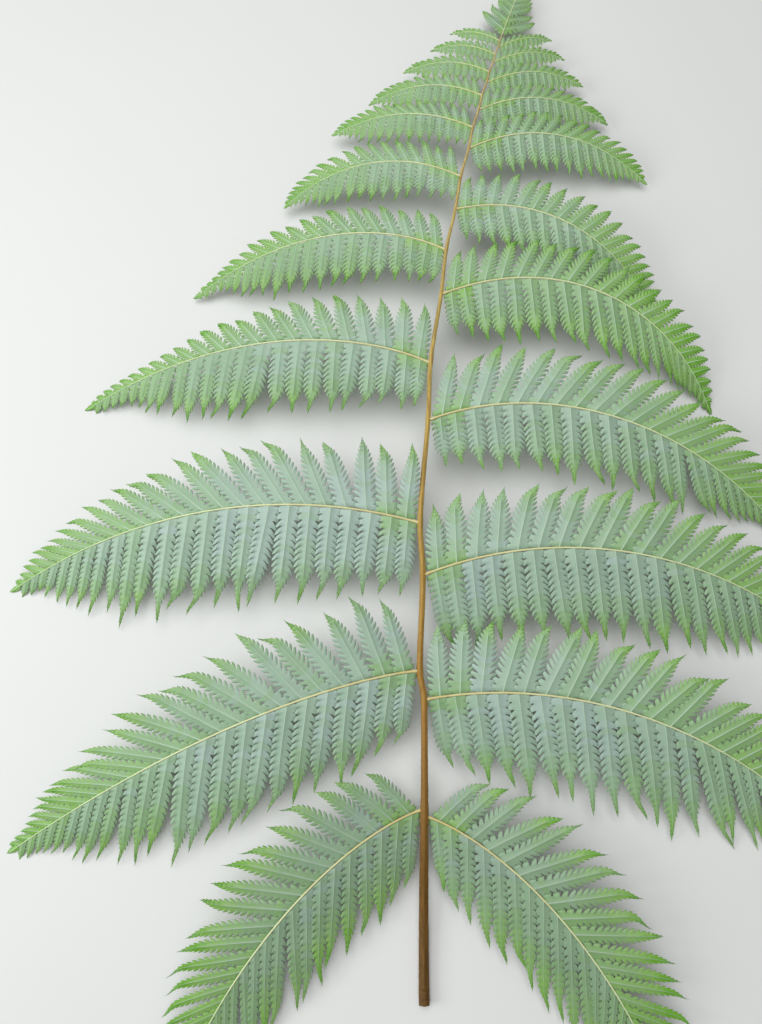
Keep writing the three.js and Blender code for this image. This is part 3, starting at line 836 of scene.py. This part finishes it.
class Blade:
    """One leaflet's outline, its slits and the relief of its segments."""

    def __init__(self, rib, leaflet, shape):
        self.rib, self.leaflet, self.shape = rib, leaflet, shape
        self.reach = leaflet["reach"]
        self.full_half = leaflet["half"] * shape.width_share
        self.start = min(START_IN_RIB * float(rib.half_width(leaflet["root"])), START_LIMIT * self.reach)
        self.places = segment_places(self.start, self.reach, shape)
        self.middles = (self.places[1:] + self.places[:-1]) / 2
        self.fineness = min(1, self.full_half / FULL_RELIEF_HALF_WIDTH)
        self.bulge = shape.bulge * self.fineness

    def share_at(self, along):
        return (along - self.start) / (self.reach - self.start)

    def settled(self, along):
        """How far the segments have turned forward, which those beside the rib haven't."""
        reach = min(BASE_LEAN_REACH, BASE_LEAN_LIMIT * self.reach)
        return mix(BASE_LEAN, 1, smooth((along - self.start) / reach))

    def lean_at(self, along):
        return self.settled(along) / math.tan(self.shape.segment_angle)

    def half_at(self, along):
        """Half width where a segment's point lies, which is ahead of its foot."""
        ahead = self.lean_at(along) * self.full_half * outline(self.share_at(along), self.leaflet)
        return self.full_half * outline(self.share_at(along + ahead), self.leaflet)

    def slit_end(self, along):
        """How far out from the leaflet's rib the slits end, as a share of the half width."""
        share = self.share_at(along)
        fading = SLIT_FADE * smooth(past(share, SLIT_FADES_FROM))
        first = FIRST_SLITS_SHALLOWER * np.clip(1 - share / FIRST_SLITS, 0, 1)
        return 1 - self.shape.slit_depth * self.leaflet["cut"] * (1 - fading - first)

    def segments(self):
        """Distance along, offset and rise of each point of the segments on one flank."""
        middles = self.middles[:, None]
        steps = (self.places[1:] - self.places[:-1])[:, None]
        rows = np.concatenate([[0], SEGMENT_ROWS, [1]])
        foot_end = self.slit_end(middles)
        vein_offset = self.half_at(middles) * (foot_end + (1 - foot_end) * rows)
        forward = SEGMENT_FORWARD * steps * self.settled(middles)
        vein_along = middles + self.lean_at(middles) * vein_offset + forward * rows**2
        vein_rise = self.bulge * (VEIN_RISE * (1 - rows**2) - POINT_DROP * rows**2)
        nearness = np.clip(1 - np.arange(len(steps)) / FIRST_SEGMENTS, 0, 1)[:, None]
        spread = steps / 2 * mix(SEGMENT_FULLNESS, FIRST_FULLNESS, nearness)

        inner = slice(1, 1 + len(SEGMENT_ROWS))
        along, offset, rise = np.empty((3, len(steps), POINTS_PER_SEGMENT))
        for given, vein in ((along, vein_along), (offset, vein_offset), (rise, vein_rise)):
            given[:, 0], given[:, -1] = vein[..., 0], vein[..., -1]
        for column, way in ((1, -1), (2, 0), (3, 1)):
            along[:, column:-1:3] = vein_along[:, inner] + way * spread
            offset[:, column:-1:3] = vein_offset[:, inner]
            rise[:, column:-1:3] = vein_rise[inner] - abs(way) * self.bulge * EDGE_DROP
        return along.ravel(), offset.ravel(), rise.ravel()

    def flat_points(self):
        """Distance along, offset and rise of all its points, in the order in which its faces count them."""
        places, level = self.places, 0 * self.places
        costule = self.leaflet["costule"] / 2 * self.fineness * (1 - COSTULE_TAPER * self.share_at(places))
        slit = np.maximum(self.half_at(places) * self.slit_end(places), costule)
        lean = self.lean_at(places)
        along, offset, rise = self.segments()
        parts = [(places, level, level + COSTULE_RISE * self.fineness), ([self.reach], [0], [0])]
        for sign in (1, -1):
            parts.append((places + lean * costule, sign * costule, level))
            parts.append((places + lean * slit, sign * slit, level - self.bulge * SINUS_DROP))
            parts.append((along, sign * offset, rise))
        return [np.concatenate(column) for column in zip(*parts)]

    def points(self):
        """Its points on the frond, twisted, bent and hooked in its own way."""
        along, offset, rise = self.flat_points()
        share = self.share_at(along)
        own = self.leaflet
        rise += offset * own["twist"] * smooth(share) - self.shape.edge_droop * offset**2 / self.full_half
        rise += (own["level"] - own["sag"] * self.reach * share) * smooth(share / LEVEL_REACH)
        skew = np.clip(1 - (along - self.start) / (SKEW_REACH * self.full_half), 0, 1) ** 2
        along += skew * offset * own["skew"]
        offset += self.reach * (own["bend"] * share**2 + own["hook"] * smooth(past(share, HOOK_FROM)) ** 2)
        return self.rib.place(own["root"], own["flank"], own["angle"], along, offset, rise)


# Meshes gathered from arrays

class Gathered:
    """Points and triangles of one piece, with the finish of each triangle."""

    def __init__(self):
        self.points, self.faces, self.slots = [], [], []
        self.total = 0

    def add(self, points, faces, slots):
        self.points.append(np.asarray(points, float).reshape(-1, 3))
        self.faces.append(np.asarray(faces) + self.total)
        self.slots.append(np.broadcast_to(slots, len(faces)))
        self.total += len(self.points[-1])

    def piece(self, name, finishes, record_slot, nodes):
        """Makes the Blender object, which rides on the frond and stands for these packed nodes."""
        points, faces = np.concatenate(self.points), np.concatenate(self.faces)
        mesh = bpy.data.meshes.new(name)
        mesh.vertices.add(len(points))
        mesh.vertices.foreach_set("co", points.ravel())
        mesh.loops.add(faces.size)
        mesh.loops.foreach_set("vertex_index", faces.ravel())
        mesh.polygons.add(len(faces))
        mesh.polygons.foreach_set("loop_start", np.arange(0, faces.size, 3))
        mesh.polygons.foreach_set("material_index", np.concatenate(self.slots))
        mesh.polygons.foreach_set("use_smooth", np.ones(len(faces), bool))
        mesh.update(calc_edges=True)
        mesh.set_sharp_from_angle(angle=math.radians(SHARP_ANGLE))
        piece = bpy.data.objects.new(name, mesh)
        for finish in finishes:
            mesh.materials.append(finish)
        bpy.context.scene.collection.objects.link(piece)
        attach(piece, BODY)
        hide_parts(*nodes)


def add_tube(gathered, rings, slots, end_slot=None):
    """Adds a closed tube through rings of points, with a finish for each step between rings."""
    count, sides = rings.shape[:2]
    here = np.arange(sides)
    beside = (here + 1) % sides
    faces, given = [], []
    for ring in range(count - 1):
        low, high = ring * sides, (ring + 1) * sides
        faces.append(np.stack([low + here, low + beside, high + beside], 1))
        faces.append(np.stack([low + here, high + beside, high + here], 1))
        given.append(np.full(2 * sides, slots[ring]))
    centre = np.full(sides, count * sides)
    last = (count - 1) * sides
    faces.append(np.stack([centre, beside, here], 1))
    faces.append(np.stack([centre + 1, last + here, last + beside], 1))
    given += [np.full(sides, slots[0] if end_slot is None else end_slot), np.full(sides, slots[-1])]
    points = np.concatenate([rings.reshape(-1, 3), rings[[0, -1]].mean(axis=1)])
    gathered.add(points, np.concatenate(faces), np.concatenate(given))


# Finishes

class Number:
    """A socket that carries one number, on which Python's operators add Math nodes."""

    def __init__(self, finish, socket):
        self.finish = finish
        self.socket = socket

    def maths(self, operation, first, second):
        node = self.finish.add("ShaderNodeMath", {"operation": operation}, {0: first, 1: second})
        return Number(self.finish, node.outputs[0])

    def __add__(self, other):
        return self.maths("ADD", self, other)

    def __sub__(self, other):
        return self.maths("SUBTRACT", self, other)

    def __rsub__(self, other):
        return self.maths("SUBTRACT", other, self)

    def __mul__(self, other):
        return self.maths("MULTIPLY", self, other)

    __radd__ = __add__
    __rmul__ = __mul__


class Finish:
    """A material and the nodes that make it up."""

    def __init__(self, name):
        self.material = bpy.data.materials.new(name)
        self.material.use_nodes = True
        self.tree = self.material.node_tree
        self.shader = next(node for node in self.tree.nodes if node.type == "BSDF_PRINCIPLED")
        self.place = self.add("ShaderNodeTexCoord").outputs["Object"]

    def fill(self, socket, value):
        """Links a socket to a number or colour of other nodes, or gives it a plain value."""
        if isinstance(value, Number):
            value = value.socket
        if isinstance(value, bpy.types.NodeSocket):
            self.tree.links.new(value, socket)
        else:
            socket.default_value = value

    def add(self, kind, settings=None, inputs=None):
        """Adds a node of a kind with its settings first, then the values or links of its sockets."""
        node = self.tree.nodes.new(kind)
        for key, value in (settings or {}).items():
            if key == "stops":
                ramp = node.color_ramp.elements
                while len(ramp) < len(value):
                    ramp.new(0)
                for element, (position, plain) in zip(ramp, value):
                    element.position = position
                    element.color = (*plain, 1)
            else:
                setattr(node, key, value)
        for key, value in (inputs or {}).items():
            self.fill(node.inputs[key], value)
        return node

    def noise(self, scale, detail=2.0, place=None):
        """Soft noise between 0 and 1, with about so many waves to the metre."""
        inputs = {"Vector": place or self.place, "Scale": scale, "Detail": detail}
        return Number(self, self.add("ShaderNodeTexNoise", None, inputs).outputs["Fac"])

    def axis(self, name):
        """The distance along one axis."""
        node = self.add("ShaderNodeSeparateXYZ", None, {0: self.place})
        return Number(self, node.outputs[name])

    def blend(self, share, first, second):
        """A colour between two, through the Mix node's colour sockets."""
        inputs = {0: share, 6: colour(first), 7: colour(second)}
        return self.add("ShaderNodeMix", {"data_type": "RGBA"}, inputs).outputs[2]

    def ramp(self, share, stops):
        """The colour at a share of the way along stops of (place, colour)."""
        return self.add("ShaderNodeValToRGB", {"stops": stops}, {0: share}).outputs[0]

    def surface(self, base, roughness, height, depth, sheen=0.0, specular=0.5):
        """Gives the shader its colour, roughness and gloss, and relief of a depth from a height."""
        bump = self.add("ShaderNodeBump", None, {"Strength": 1.0, "Distance": depth, "Height": height})
        values = {
            "Base Color": colour(base), "Roughness": roughness, "Normal": bump.outputs[0],
            "Sheen Weight": sheen, "Specular IOR Level": specular,
        }
        for key, value in values.items():
            self.fill(self.shader.inputs[key], value)
        return self.material


def leaf_finish(name, plain):
    """Soft leaf with faint blotches, a grain as fine as its veins, and a satin face."""
    finish = Finish(name)
    blotches = finish.noise(45)
    flecks = finish.noise(600, 3)
    tint = finish.blend(blotches * 0.7 + flecks * 0.3, shaded(plain, 0.78, 0.97), shaded(plain, 1.22, 1.04))
    grain = finish.noise(1400, 3)
    return finish.surface(tint, flecks * 0.2 + 0.34, grain, depth=0.00012, sheen=0.12, specular=0.55)


def underside_finish(name, plain):
    """Matte lower face of the leaf with a web of fine veins."""
    finish = Finish(name)
    web = {"Vector": finish.place, "Scale": 700}
    veins = finish.add("ShaderNodeTexVoronoi", {"feature": "DISTANCE_TO_EDGE"}, web).outputs[0]
    tint = finish.blend(finish.noise(60), shaded(plain, 0.86), shaded(plain, 1.12, 1.03))
    return finish.surface(tint, finish.noise(300) * 0.15 + 0.6, veins, depth=0.0002, specular=0.3)


def rib_finish(name, plain):
    """Smooth rib with faint long streaks and short down."""
    finish = Finish(name)
    streaks = finish.noise(260, 3)
    tint = finish.blend(streaks, shaded(plain, 0.84), shaded(plain, 1.16))
    return finish.surface(tint, streaks * 0.2 + 0.34, finish.noise(1800, 2), depth=0.0001, sheen=0.1)


def stalk_finish(name, colours):
    """Stalk and midrib: brown at the foot and golden higher up, with long streaks and scurf."""
    finish = Finish(name)
    drawn_out = {0: finish.place, 1: (1, 0.07, 1)}
    stretched = finish.add("ShaderNodeVectorMath", {"operation": "MULTIPLY"}, drawn_out)
    streaks = finish.noise(700, 3, stretched.outputs[0])
    scurf = finish.noise(900, 4)
    up = (finish.axis("Y") + (finish.noise(18) - 0.5) * 0.03) * (1 / FROND_LENGTH)
    gold = colours.rachis
    base = finish.ramp(up, [
        (0.0, shaded(colours.stipe, 0.7)),
        (0.09, shaded(colours.stipe, 1.05)),
        (0.13, shaded(gold, 0.3, 1.35)),
        (0.2, shaded(gold, 0.44, 1.35)),
        (0.3, shaded(gold, 0.68, 1.15)),
        (0.5, toward(gold, colours.costa, 0.1)),
        (0.78, toward(gold, colours.costa, 0.3)),
        (0.96, toward(gold, colours.costa, 0.6)),
    ])
    streaked = finish.blend(streaks * 1.6 - 0.5, base, shaded(gold, 0.3, 1.4))
    flecks = {"Value": scurf, "From Min": 0.6, "From Max": 0.72, "To Min": 0.0, "To Max": 0.75}
    flecked = finish.add("ShaderNodeMapRange", None, flecks).outputs[0]
    tint = finish.blend(flecked, streaked, shaded(colours.scale, 0.8))
    relief = streaks * 0.6 + scurf * 0.5
    return finish.surface(tint, streaks * 0.25 + 0.42, relief, depth=0.0004, specular=0.3)


def cut_finish(name, colours):
    """Cut face of the stalk: pale pith with a dark rim, by the square of the distance from its middle."""
    finish = Finish(name)
    across, up = finish.axis("X"), finish.axis("Z")
    outward = (across * across + up * up) * (1 / CUT_RADIUS**2)
    pores = finish.noise(1500, 3)
    base = finish.ramp(outward + (pores - 0.5) * 0.2, [
        (0.0, shaded(colours.pith, 1.0)),
        (0.62, shaded(colours.pith, 0.85, 1.04)),
        (0.8, shaded(colours.stipe, 1.9)),
        (0.95, shaded(colours.stipe, 0.8)),
    ])
    return finish.surface(base, pores * 0.2 + 0.5, pores, depth=0.0002)


def scale_finish(name, plain):
    """Thin papery scale, streaked along and a little shiny."""
    finish = Finish(name)
    streaks = finish.noise(1500, 2)
    tint = finish.blend(streaks, shaded(plain, 0.6), shaded(plain, 1.7, 1.1))
    return finish.surface(tint, streaks * 0.2 + 0.4, streaks, depth=0.0001)


# The leaf

def leaf_finishes(prefix, gain=1.0):
    """Finishes of the leaf from its oldest shade to its youngest, of its ribs and of its lower face.

    A gain below 1 paints shade: it darkens all but the youngest shades, and the ribs and lower face."""
    colours = bpy.context.scene.frond_colours
    names = [f"{prefix}_{shade + 1}" for shade in range(LEAF_SHADES)]
    rib_name, under_name = f"{prefix}_rib", f"{prefix}_under"
    if rib_name in bpy.data.materials:
        return [bpy.data.materials[name] for name in (*names, rib_name, under_name)]
    stops = [
        (0, colours.mature_leaf), (0.35, colours.middle_leaf), (0.7, colours.young_leaf),
        (1, colours.leaf_point),
    ]
    leaf = [
        leaf_finish(name, shaded(between(stops, youth), mix(gain, 1, youth)))
        for name, youth in zip(names, np.linspace(0, 1, LEAF_SHADES))
    ]
    return leaf + [
        rib_finish(rib_name, shaded(colours.costule, gain)),
        underside_finish(under_name, shaded(colours.leaf_underside, gain)),
    ]


def segment_shades(leaflet, youth, shares, chance):
    """The shade of each segment: fresher towards the leaflet's point, with painted backlight at the feet of
    the first leaflets.
    """
    point = POINT_YOUTH * chance.uniform(*POINT_YOUTH_RANGE) * shares ** leaflet["green_end"]
    youths_and_backlight = youth + point + chance.normal(0, SEGMENT_YOUTH_SPREAD, len(shares))
    # Painted backlight: the feet of a pinna's first leaflets turn vivid green, as where light shines
    # through them.
    if leaflet["root"] < BACKLIT_FOOT_REACH:
        youths_and_backlight += BACKLIT_FOOT * np.clip(1 - shares / BACKLIT_FOOT_SHARE, 0, 1)
    return np.clip(np.round(youths_and_backlight * (LEAF_SHADES - 1)), 0, LEAF_SHADES - 1).astype(int)


def add_leaflet(gathered, rib, leaflet, youth, shape, chance):
    """Adds one leaflet as a thin closed blade, each segment in the shade of its youth and any painted
    backlight.
    """
    blade = Blade(rib, strayed(leaflet, shape, chance), shape)
    upper = blade.points()
    shades = segment_shades(leaflet, youth, blade.share_at(blade.middles), chance)
    faces, segments, kinds, rim, owners = leaflet_faces(len(shades))
    slots = np.where(kinds == RIB, COSTULE_SLOT, shades[segments])
    total = len(upper)
    start, end = rim.T
    edge = np.stack([end, start, start + total], 1), np.stack([end, start + total, end + total], 1)
    solid = np.concatenate([faces, faces[:, ::-1] + total, *edge])
    if leaflet["flank"] * rib.side > 0:
        solid = solid[:, ::-1]
    given = np.concatenate([slots, np.full(len(faces), UNDER_SLOT), slots[owners], slots[owners]])
    gathered.add(np.concatenate([upper, upper - (0, 0, shape.thickness)]), solid, given)


def add_pinna(gathered, costa, shape, chance):
    """Adds the leaflets of one pinna, which look younger towards its tip and up the frond."""
    height = HEIGHT_YOUTH * (costa.at / FROND_LENGTH) ** HEIGHT_YOUTH_POWER
    for leaflet in pinna_leaflets(costa):
        most, power = leaflet["tip_youth"]
        youth = most * (leaflet["root"] / costa.length) ** power + height
        youth += costa.pinna.get("youth", 0) + chance.normal(PLAIN_YOUTH, YOUTH_SPREAD)
        add_leaflet(gathered, costa, leaflet, youth, shape, chance)


class FERN_OT_leaflets(bpy.types.Operator):
    """Grow the leaflets of every pinna, joined in groups from the foot of the frond to its tip"""

    bl_idname = "fern.leaflets"
    bl_label = "Leaflets"

    def execute(self, context):
        for name, side, pinnae in SIDES:
            for group, (first, end) in enumerate(PINNA_GROUPS):
                # The lowest pinnae take darkened finishes: painted shade, where the pinnae above shadow
                # them.
                finishes = leaf_finishes("leaf") if group else leaf_finishes("shaded_low_leaf", LOWEST_SHADE_GAIN)
                gathered = Gathered()
                for index in range(first, end):
                    chance = np.random.default_rng(PINNA_SEEDS[name] + index)
                    add_pinna(gathered, Costa(pinnae[index], side), context.scene.leaflet_shape, chance)
                nodes = [f"pinna_{name}_{index + 1:02d}" for index in range(first, end)]
                gathered.piece(f"leaflets_{name}_{group + 1}", finishes, "pinna", nodes)
        return {"FINISHED"}


class FERN_OT_tip(bpy.types.Operator):
    """Grow the lobes of the frond's tip"""

    bl_idname = "fern.tip"
    bl_label = "Frond tip"

    def execute(self, context):
        gathered = Gathered()
        chance = np.random.default_rng(TIP_SEED)
        rib = TipRib()
        for leaflet in tip_leaflets(rib):
            youth = mix(*TIP_LOBE_YOUTH, leaflet["root"] / rib.length)
            youth += chance.normal(0, TIP_LOBE_YOUTH_SPREAD)
            add_leaflet(gathered, rib, leaflet, youth, context.scene.leaflet_shape, chance)
        gathered.piece("tip_lobes", leaf_finishes("leaf"), "frond_tip", ["frond_tip"])
        return {"FINISHED"}


# The ribs of the pinnae

def rib_rings(rib, distances):
    """Rings of points round a rib, with a shallow groove along its top."""
    x, y, heading = rib.course(distances)
    centre = np.stack([rib.side * x, y, rib.height(distances)], 1)
    across = np.stack([-rib.side * np.sin(heading), np.cos(heading), 0 * heading], 1)
    turn = np.linspace(0, 2 * np.pi, RIB_SIDES, endpoint=False)
    root_reach = RIB_SWELLING_REACH * rib.half_width(0)
    swell = 1 + RIB_SWELLING * np.exp(-((distances / root_reach) ** 2))
    groove = 1 - RIB_GROOVE_DEPTH * np.exp(-(((turn - np.pi / 2) / RIB_GROOVE_WIDTH) ** 2))
    slimness = mix(RIB_SLIMNESS, RIB_TIP_SLIMNESS, np.clip(distances / rib.length, 0, 1) ** 2)
    wide = (slimness * rib.half_width(distances) * swell)[:, None] * np.cos(turn)
    high = (rib.half_thickness(distances) * swell)[:, None] * np.sin(turn) * groove
    rings = centre[:, None] + across[:, None] * wide[..., None] + np.array([0, 0, 1]) * high[..., None]
    rings[..., 2] = np.maximum(rings[..., 2], FLOOR)
    return rings if rib.side > 0 else rings[:, ::-1]


def add_costa(gathered, costa):
    """Adds the rib of one pinna from inside the midrib, greener towards its tip and up the frond."""
    inside = -RIB_ROOT_DEPTH * float(stem_radius(costa.at))
    rings = max(RIB_LEAST_RINGS, round(costa.length / RIB_SPACING))
    root = np.linspace(inside, RIB_SPACING, RIB_ROOT_RINGS, endpoint=False)
    distances = np.concatenate([root, np.linspace(RIB_SPACING, costa.length, rings)])
    ways = np.clip(distances[1:] / costa.length, 0, 1)
    ages = RIB_AGE_AT_TIP * costa.at / FROND_LENGTH + RIB_AGE_AT_END * ways
    shades = np.minimum(RIB_SHADES - 1, (ages * RIB_SHADES).astype(int))
    add_tube(gathered, rib_rings(costa, distances), shades)


class FERN_OT_ribs(bpy.types.Operator):
    """Draw the ribs of the pinnae out of the midrib, and the last of the midrib"""

    bl_idname = "fern.ribs"
    bl_label = "Ribs"

    def execute(self, context):
        colours = context.scene.frond_colours
        golden = toward(colours.rachis, colours.costa, RIB_ROOT_PALENESS)
        stops = [(0, golden), (0.5, colours.costa), (1, colours.costa_tip)]
        finishes = [
            rib_finish(f"rib_{shade + 1}", between(stops, shade / (RIB_SHADES - 1)))
            for shade in range(RIB_SHADES)
        ]
        gathered = Gathered()
        nodes = []
        for name, side, pinnae in SIDES:
            for index, pinna in enumerate(pinnae):
                add_costa(gathered, Costa(pinna, side))
                nodes.append(f"pinna_{name}_{index + 1:02d}")
        gathered.piece("pinna_ribs", finishes, "pinna", nodes)
        tip = Gathered()
        rib = TipRib()
        distances = np.linspace(-MILLIMETRE, rib.length, TIP_RIB_RINGS)
        add_tube(tip, rib_rings(rib, distances), np.full(TIP_RIB_RINGS - 1, RIB_SHADES // 2))
        tip.piece("tip_rib", finishes, "frond_tip", ["frond_tip"])
        return {"FINISHED"}


# The stalk, the midrib and their scales

def stem_rings(start, end, shape):
    """Rings of points round the stalk or midrib, with grooves, warts and a swelling at each pinna."""
    ys = np.linspace(start, end, round((end - start) / STEM_SPACING) + 1)
    centre = stem_point(ys)
    turn = np.linspace(0, 2 * np.pi, STEM_SIDES, endpoint=False)
    degrees = np.degrees(turn)
    grooves = sum(np.exp(-(((degrees - middle) / STEM_GROOVE_WIDTH) ** 2)) for middle in STEM_GROOVES)
    places = [pinna["at"] for pinna in LEFT_PINNAE + RIGHT_PINNAE]
    swelling = sum(np.exp(-(((ys - place) / SWELLING_REACH) ** 2)) for place in places)
    slimness = mix(1, STEM_SLIMNESS, smooth(past(ys, STEM_SLIMS_FROM, STEM_SLIM_AT)))
    radius = slimness * stem_radius(ys) * (1 + shape.node_swelling * np.minimum(swelling, 1))
    around = np.stack([np.cos(turn), 0 * turn, np.sin(turn)], 1)
    rings = centre[:, None] + radius[:, None, None] * (1 - shape.groove_depth * grooves[:, None]) * around
    warts = np.array([[noise.noise(Vector(point * WART_FREQUENCY)) for point in ring] for ring in rings])
    outward = (rings - centre[:, None]) * (shape.wart_height * warts)[..., None]
    outward[[0, -1]] = 0
    rings = rings + outward
    rings[..., 2] = np.maximum(rings[..., 2], FLOOR)
    return rings


def add_bundles(gathered, slot):
    """Adds the ring of vascular bundles that stand a hair proud of the cut."""
    angles = np.linspace(0, 2 * np.pi, BUNDLE_SIDES, endpoint=False)
    disc = BUNDLE_RADIUS * np.stack([np.cos(angles), 0 * angles, np.sin(angles)], 1)
    for index in range(BUNDLE_COUNT):
        turn = 2 * math.pi * (index + 0.5) / BUNDLE_COUNT
        centre = BUNDLE_RING_RADIUS * np.array([math.cos(turn), 0, math.sin(turn)])
        rings = [centre + disc + (0, rise, 0) for rise in (-BUNDLE_RELIEF, BUNDLE_RELIEF)]
        add_tube(gathered, np.stack(rings)[:, ::-1], np.array([slot]))


class FERN_OT_stalk(bpy.types.Operator):
    """Shape the bare stalk with its cut face, and the grooved midrib above it"""

    bl_idname = "fern.stalk"
    bl_label = "Stalk and midrib"

    def execute(self, context):
        colours = context.scene.frond_colours
        shape = context.scene.stalk_shape
        bark = stalk_finish("stalk_skin", colours)
        cut = cut_finish("stalk_cut", colours)
        bundle = scale_finish("stalk_bundles", shaded(colours.stipe, 1.3))
        stipe = Gathered()
        rings = stem_rings(0, STIPE_LENGTH, shape)[:, ::-1]
        add_tube(stipe, rings, np.zeros(len(rings) - 1, int), end_slot=1)
        add_bundles(stipe, 2)
        stipe.piece("stipe_skin", [bark, cut, bundle], "stipe", ["stipe"])
        rachis = Gathered()
        rings = stem_rings(STIPE_LENGTH, TIP_START, shape)[:, ::-1]
        add_tube(rachis, rings, np.zeros(len(rings) - 1, int))
        rachis.piece("rachis_skin", [bark], "rachis", ["rachis"])
        return {"FINISHED"}


def add_scale(gathered, shape, chance):
    """Adds one papery scale, a slender blade that tapers to both ends and stands off a little."""
    y = SCALES_REACH * chance.random() ** SCALE_CROWDING + SCALES_START
    nearness = 1 - y / SCALES_REACH
    turn = math.radians(chance.uniform(*SCALE_TURNS))
    longest = shape.scale_length * mix(SCALE_SHORTEST, 1, nearness**SCALE_SHORTENING)
    length = longest * chance.uniform(*SCALE_LENGTHS)
    width = length * chance.uniform(*SCALE_WIDTHS)
    out = np.array([math.cos(turn), 0, math.sin(turn)])
    aside = np.array([-math.sin(turn), 0, math.cos(turn)])
    stray = chance.normal(0, SCALE_STRAY)
    lift = chance.uniform(*SCALE_LIFTS)
    forward = np.array([0, math.cos(stray), 0]) + aside * math.sin(stray)
    root = stem_point(y) + out * float(stem_radius(y)) * SCALE_ROOT_DEPTH
    tip = root + length * (forward * math.cos(lift) + out * math.sin(lift))
    middle = root + SCALE_WAIST * length * (forward * math.cos(lift / 2) + out * math.sin(lift / 2))
    broad = np.cross(forward, out) * width / 2
    thick = out * SCALE_HALF_THICKNESS
    points = np.array([root, middle - broad, tip, middle + broad, middle + thick, middle - thick])
    points[:, 2] = np.maximum(points[:, 2], FLOOR)
    gathered.add(points, SCALE_FACES, int(chance.random() < PALE_SCALES))


class FERN_OT_scales(bpy.types.Operator):
    """Scatter papery scales over the stalk and the lower midrib"""

    bl_idname = "fern.scales"
    bl_label = "Scales"

    def execute(self, context):
        shape = context.scene.stalk_shape
        brown = context.scene.frond_colours.scale
        chance = np.random.default_rng(SCALE_SEED)
        gathered = Gathered()
        for _ in range(shape.scale_count):
            add_scale(gathered, shape, chance)
        finishes = [scale_finish("scale_dark", brown), scale_finish("scale_pale", shaded(brown, 2.4))]
        gathered.piece("stalk_scales", finishes, "stipe", ["stipe"])
        return {"FINISHED"}


# Floor, light and camera

def add_lamp(name, power, place, size, aim, tint):
    lamp = bpy.data.lights.new(name, "AREA")
    lamp.energy = power
    lamp.size = size
    lamp.color = tint
    holder = bpy.data.objects.new(name, lamp)
    holder.location = place
    holder.rotation_euler = (Vector(aim) - Vector(place)).to_track_quat("-Z", "Y").to_euler()
    bpy.context.scene.collection.objects.link(holder)


def add_floor(plain):
    finish = Finish("floor")
    grain = finish.noise(6)
    tint = finish.blend(grain, shaded(plain, 0.985), shaded(plain, 1.01))
    half = FLOOR_SIZE / 2
    corners = [(-half, -half, FLOOR), (half, -half, FLOOR), (half, half, FLOOR), (-half, half, FLOOR)]
    mesh = bpy.data.meshes.new("floor")
    mesh.from_pydata(corners, [], [(0, 1, 2, 3)])
    mesh.materials.append(finish.surface(tint, 0.8, grain, depth=0.0001))
    floor = bpy.data.objects.new("floor", mesh)
    bpy.context.scene.collection.objects.link(floor)
    floor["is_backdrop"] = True


def add_camera():
    lens = bpy.data.cameras.new("camera")
    lens.lens = CAMERA_LENS
    lens.sensor_width = CAMERA_SENSOR
    lens.clip_start = NEAREST_SEEN
    camera = bpy.data.objects.new("camera", lens)
    camera.location = CAMERA_PLACE
    camera.rotation_euler = (math.radians(CAMERA_TILT), 0, 0)
    bpy.context.scene.collection.objects.link(camera)
    bpy.context.scene.camera = camera


class FERN_OT_stage(bpy.types.Operator):
    """Set the pale floor, the soft light and the camera that looks down on the frond"""

    bl_idname = "fern.stage"
    bl_label = "Stage"

    def execute(self, context):
        settings = context.scene.stage_settings
        add_floor(settings.floor_colour)
        add_lamp("overhead_lamp", settings.overhead_power, **OVERHEAD_LAMP)
        add_lamp("side_lamp", settings.side_power, **SIDE_LAMP)
        world = bpy.data.worlds.new("studio")
        world.use_nodes = True
        background = next(node for node in world.node_tree.nodes if node.type == "BACKGROUND")
        background.inputs["Color"].default_value = (*SKY_TINT, 1)
        background.inputs["Strength"].default_value = settings.sky_strength
        context.scene.world = world
        context.scene.view_settings.view_transform = "Standard"
        add_camera()
        return {"FINISHED"}


# The panel, and the classes that Blender has to know

class FERN_PT_frond(bpy.types.Panel):
    """Lists the steps that grow the frond, and the sizes and colours that they take"""

    bl_idname = "FERN_PT_frond"
    bl_label = "Fern Frond"
    bl_space_type = "VIEW_3D"
    bl_region_type = "UI"
    bl_category = "Fern Frond"

    def draw(self, context):
        for operator in OPERATORS:
            self.layout.operator(operator.bl_idname)
        for name, group in GROUPS.items():
            box = self.layout.box()
            box.label(text=group.__doc__)
            for key in group.__annotations__:
                box.prop(getattr(context.scene, name), key)


OPERATORS = (FERN_OT_stalk, FERN_OT_scales, FERN_OT_ribs, FERN_OT_leaflets, FERN_OT_tip, FERN_OT_stage)
GROUPS = {
    "leaflet_shape": LeafletShape,
    "stalk_shape": StalkShape,
    "frond_colours": FrondColours,
    "stage_settings": StageSettings,
}


def register():
    for group in GROUPS.values():
        bpy.utils.register_class(group)
    for name, group in GROUPS.items():
        setattr(bpy.types.Scene, name, bpy.props.PointerProperty(type=group))
    for operator in OPERATORS:
        bpy.utils.register_class(operator)
    bpy.utils.register_class(FERN_PT_frond)


def unregister():
    bpy.utils.unregister_class(FERN_PT_frond)
    for operator in reversed(OPERATORS):
        bpy.utils.unregister_class(operator)
    for name in GROUPS:
        delattr(bpy.types.Scene, name)
    for group in reversed(GROUPS.values()):
        bpy.utils.unregister_class(group)


def main():
    register()
    bpy.ops.fern.stalk()
    bpy.ops.fern.scales()
    bpy.ops.fern.ribs()
    bpy.ops.fern.leaflets()
    bpy.ops.fern.tip()
    bpy.ops.fern.stage()
    boxes = {"cad": CAD_BOX, "visual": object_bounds()}
    {name: [list(corner) for corner in box] for name, box in boxes.items()}


if __name__ == "__main__":
    main()
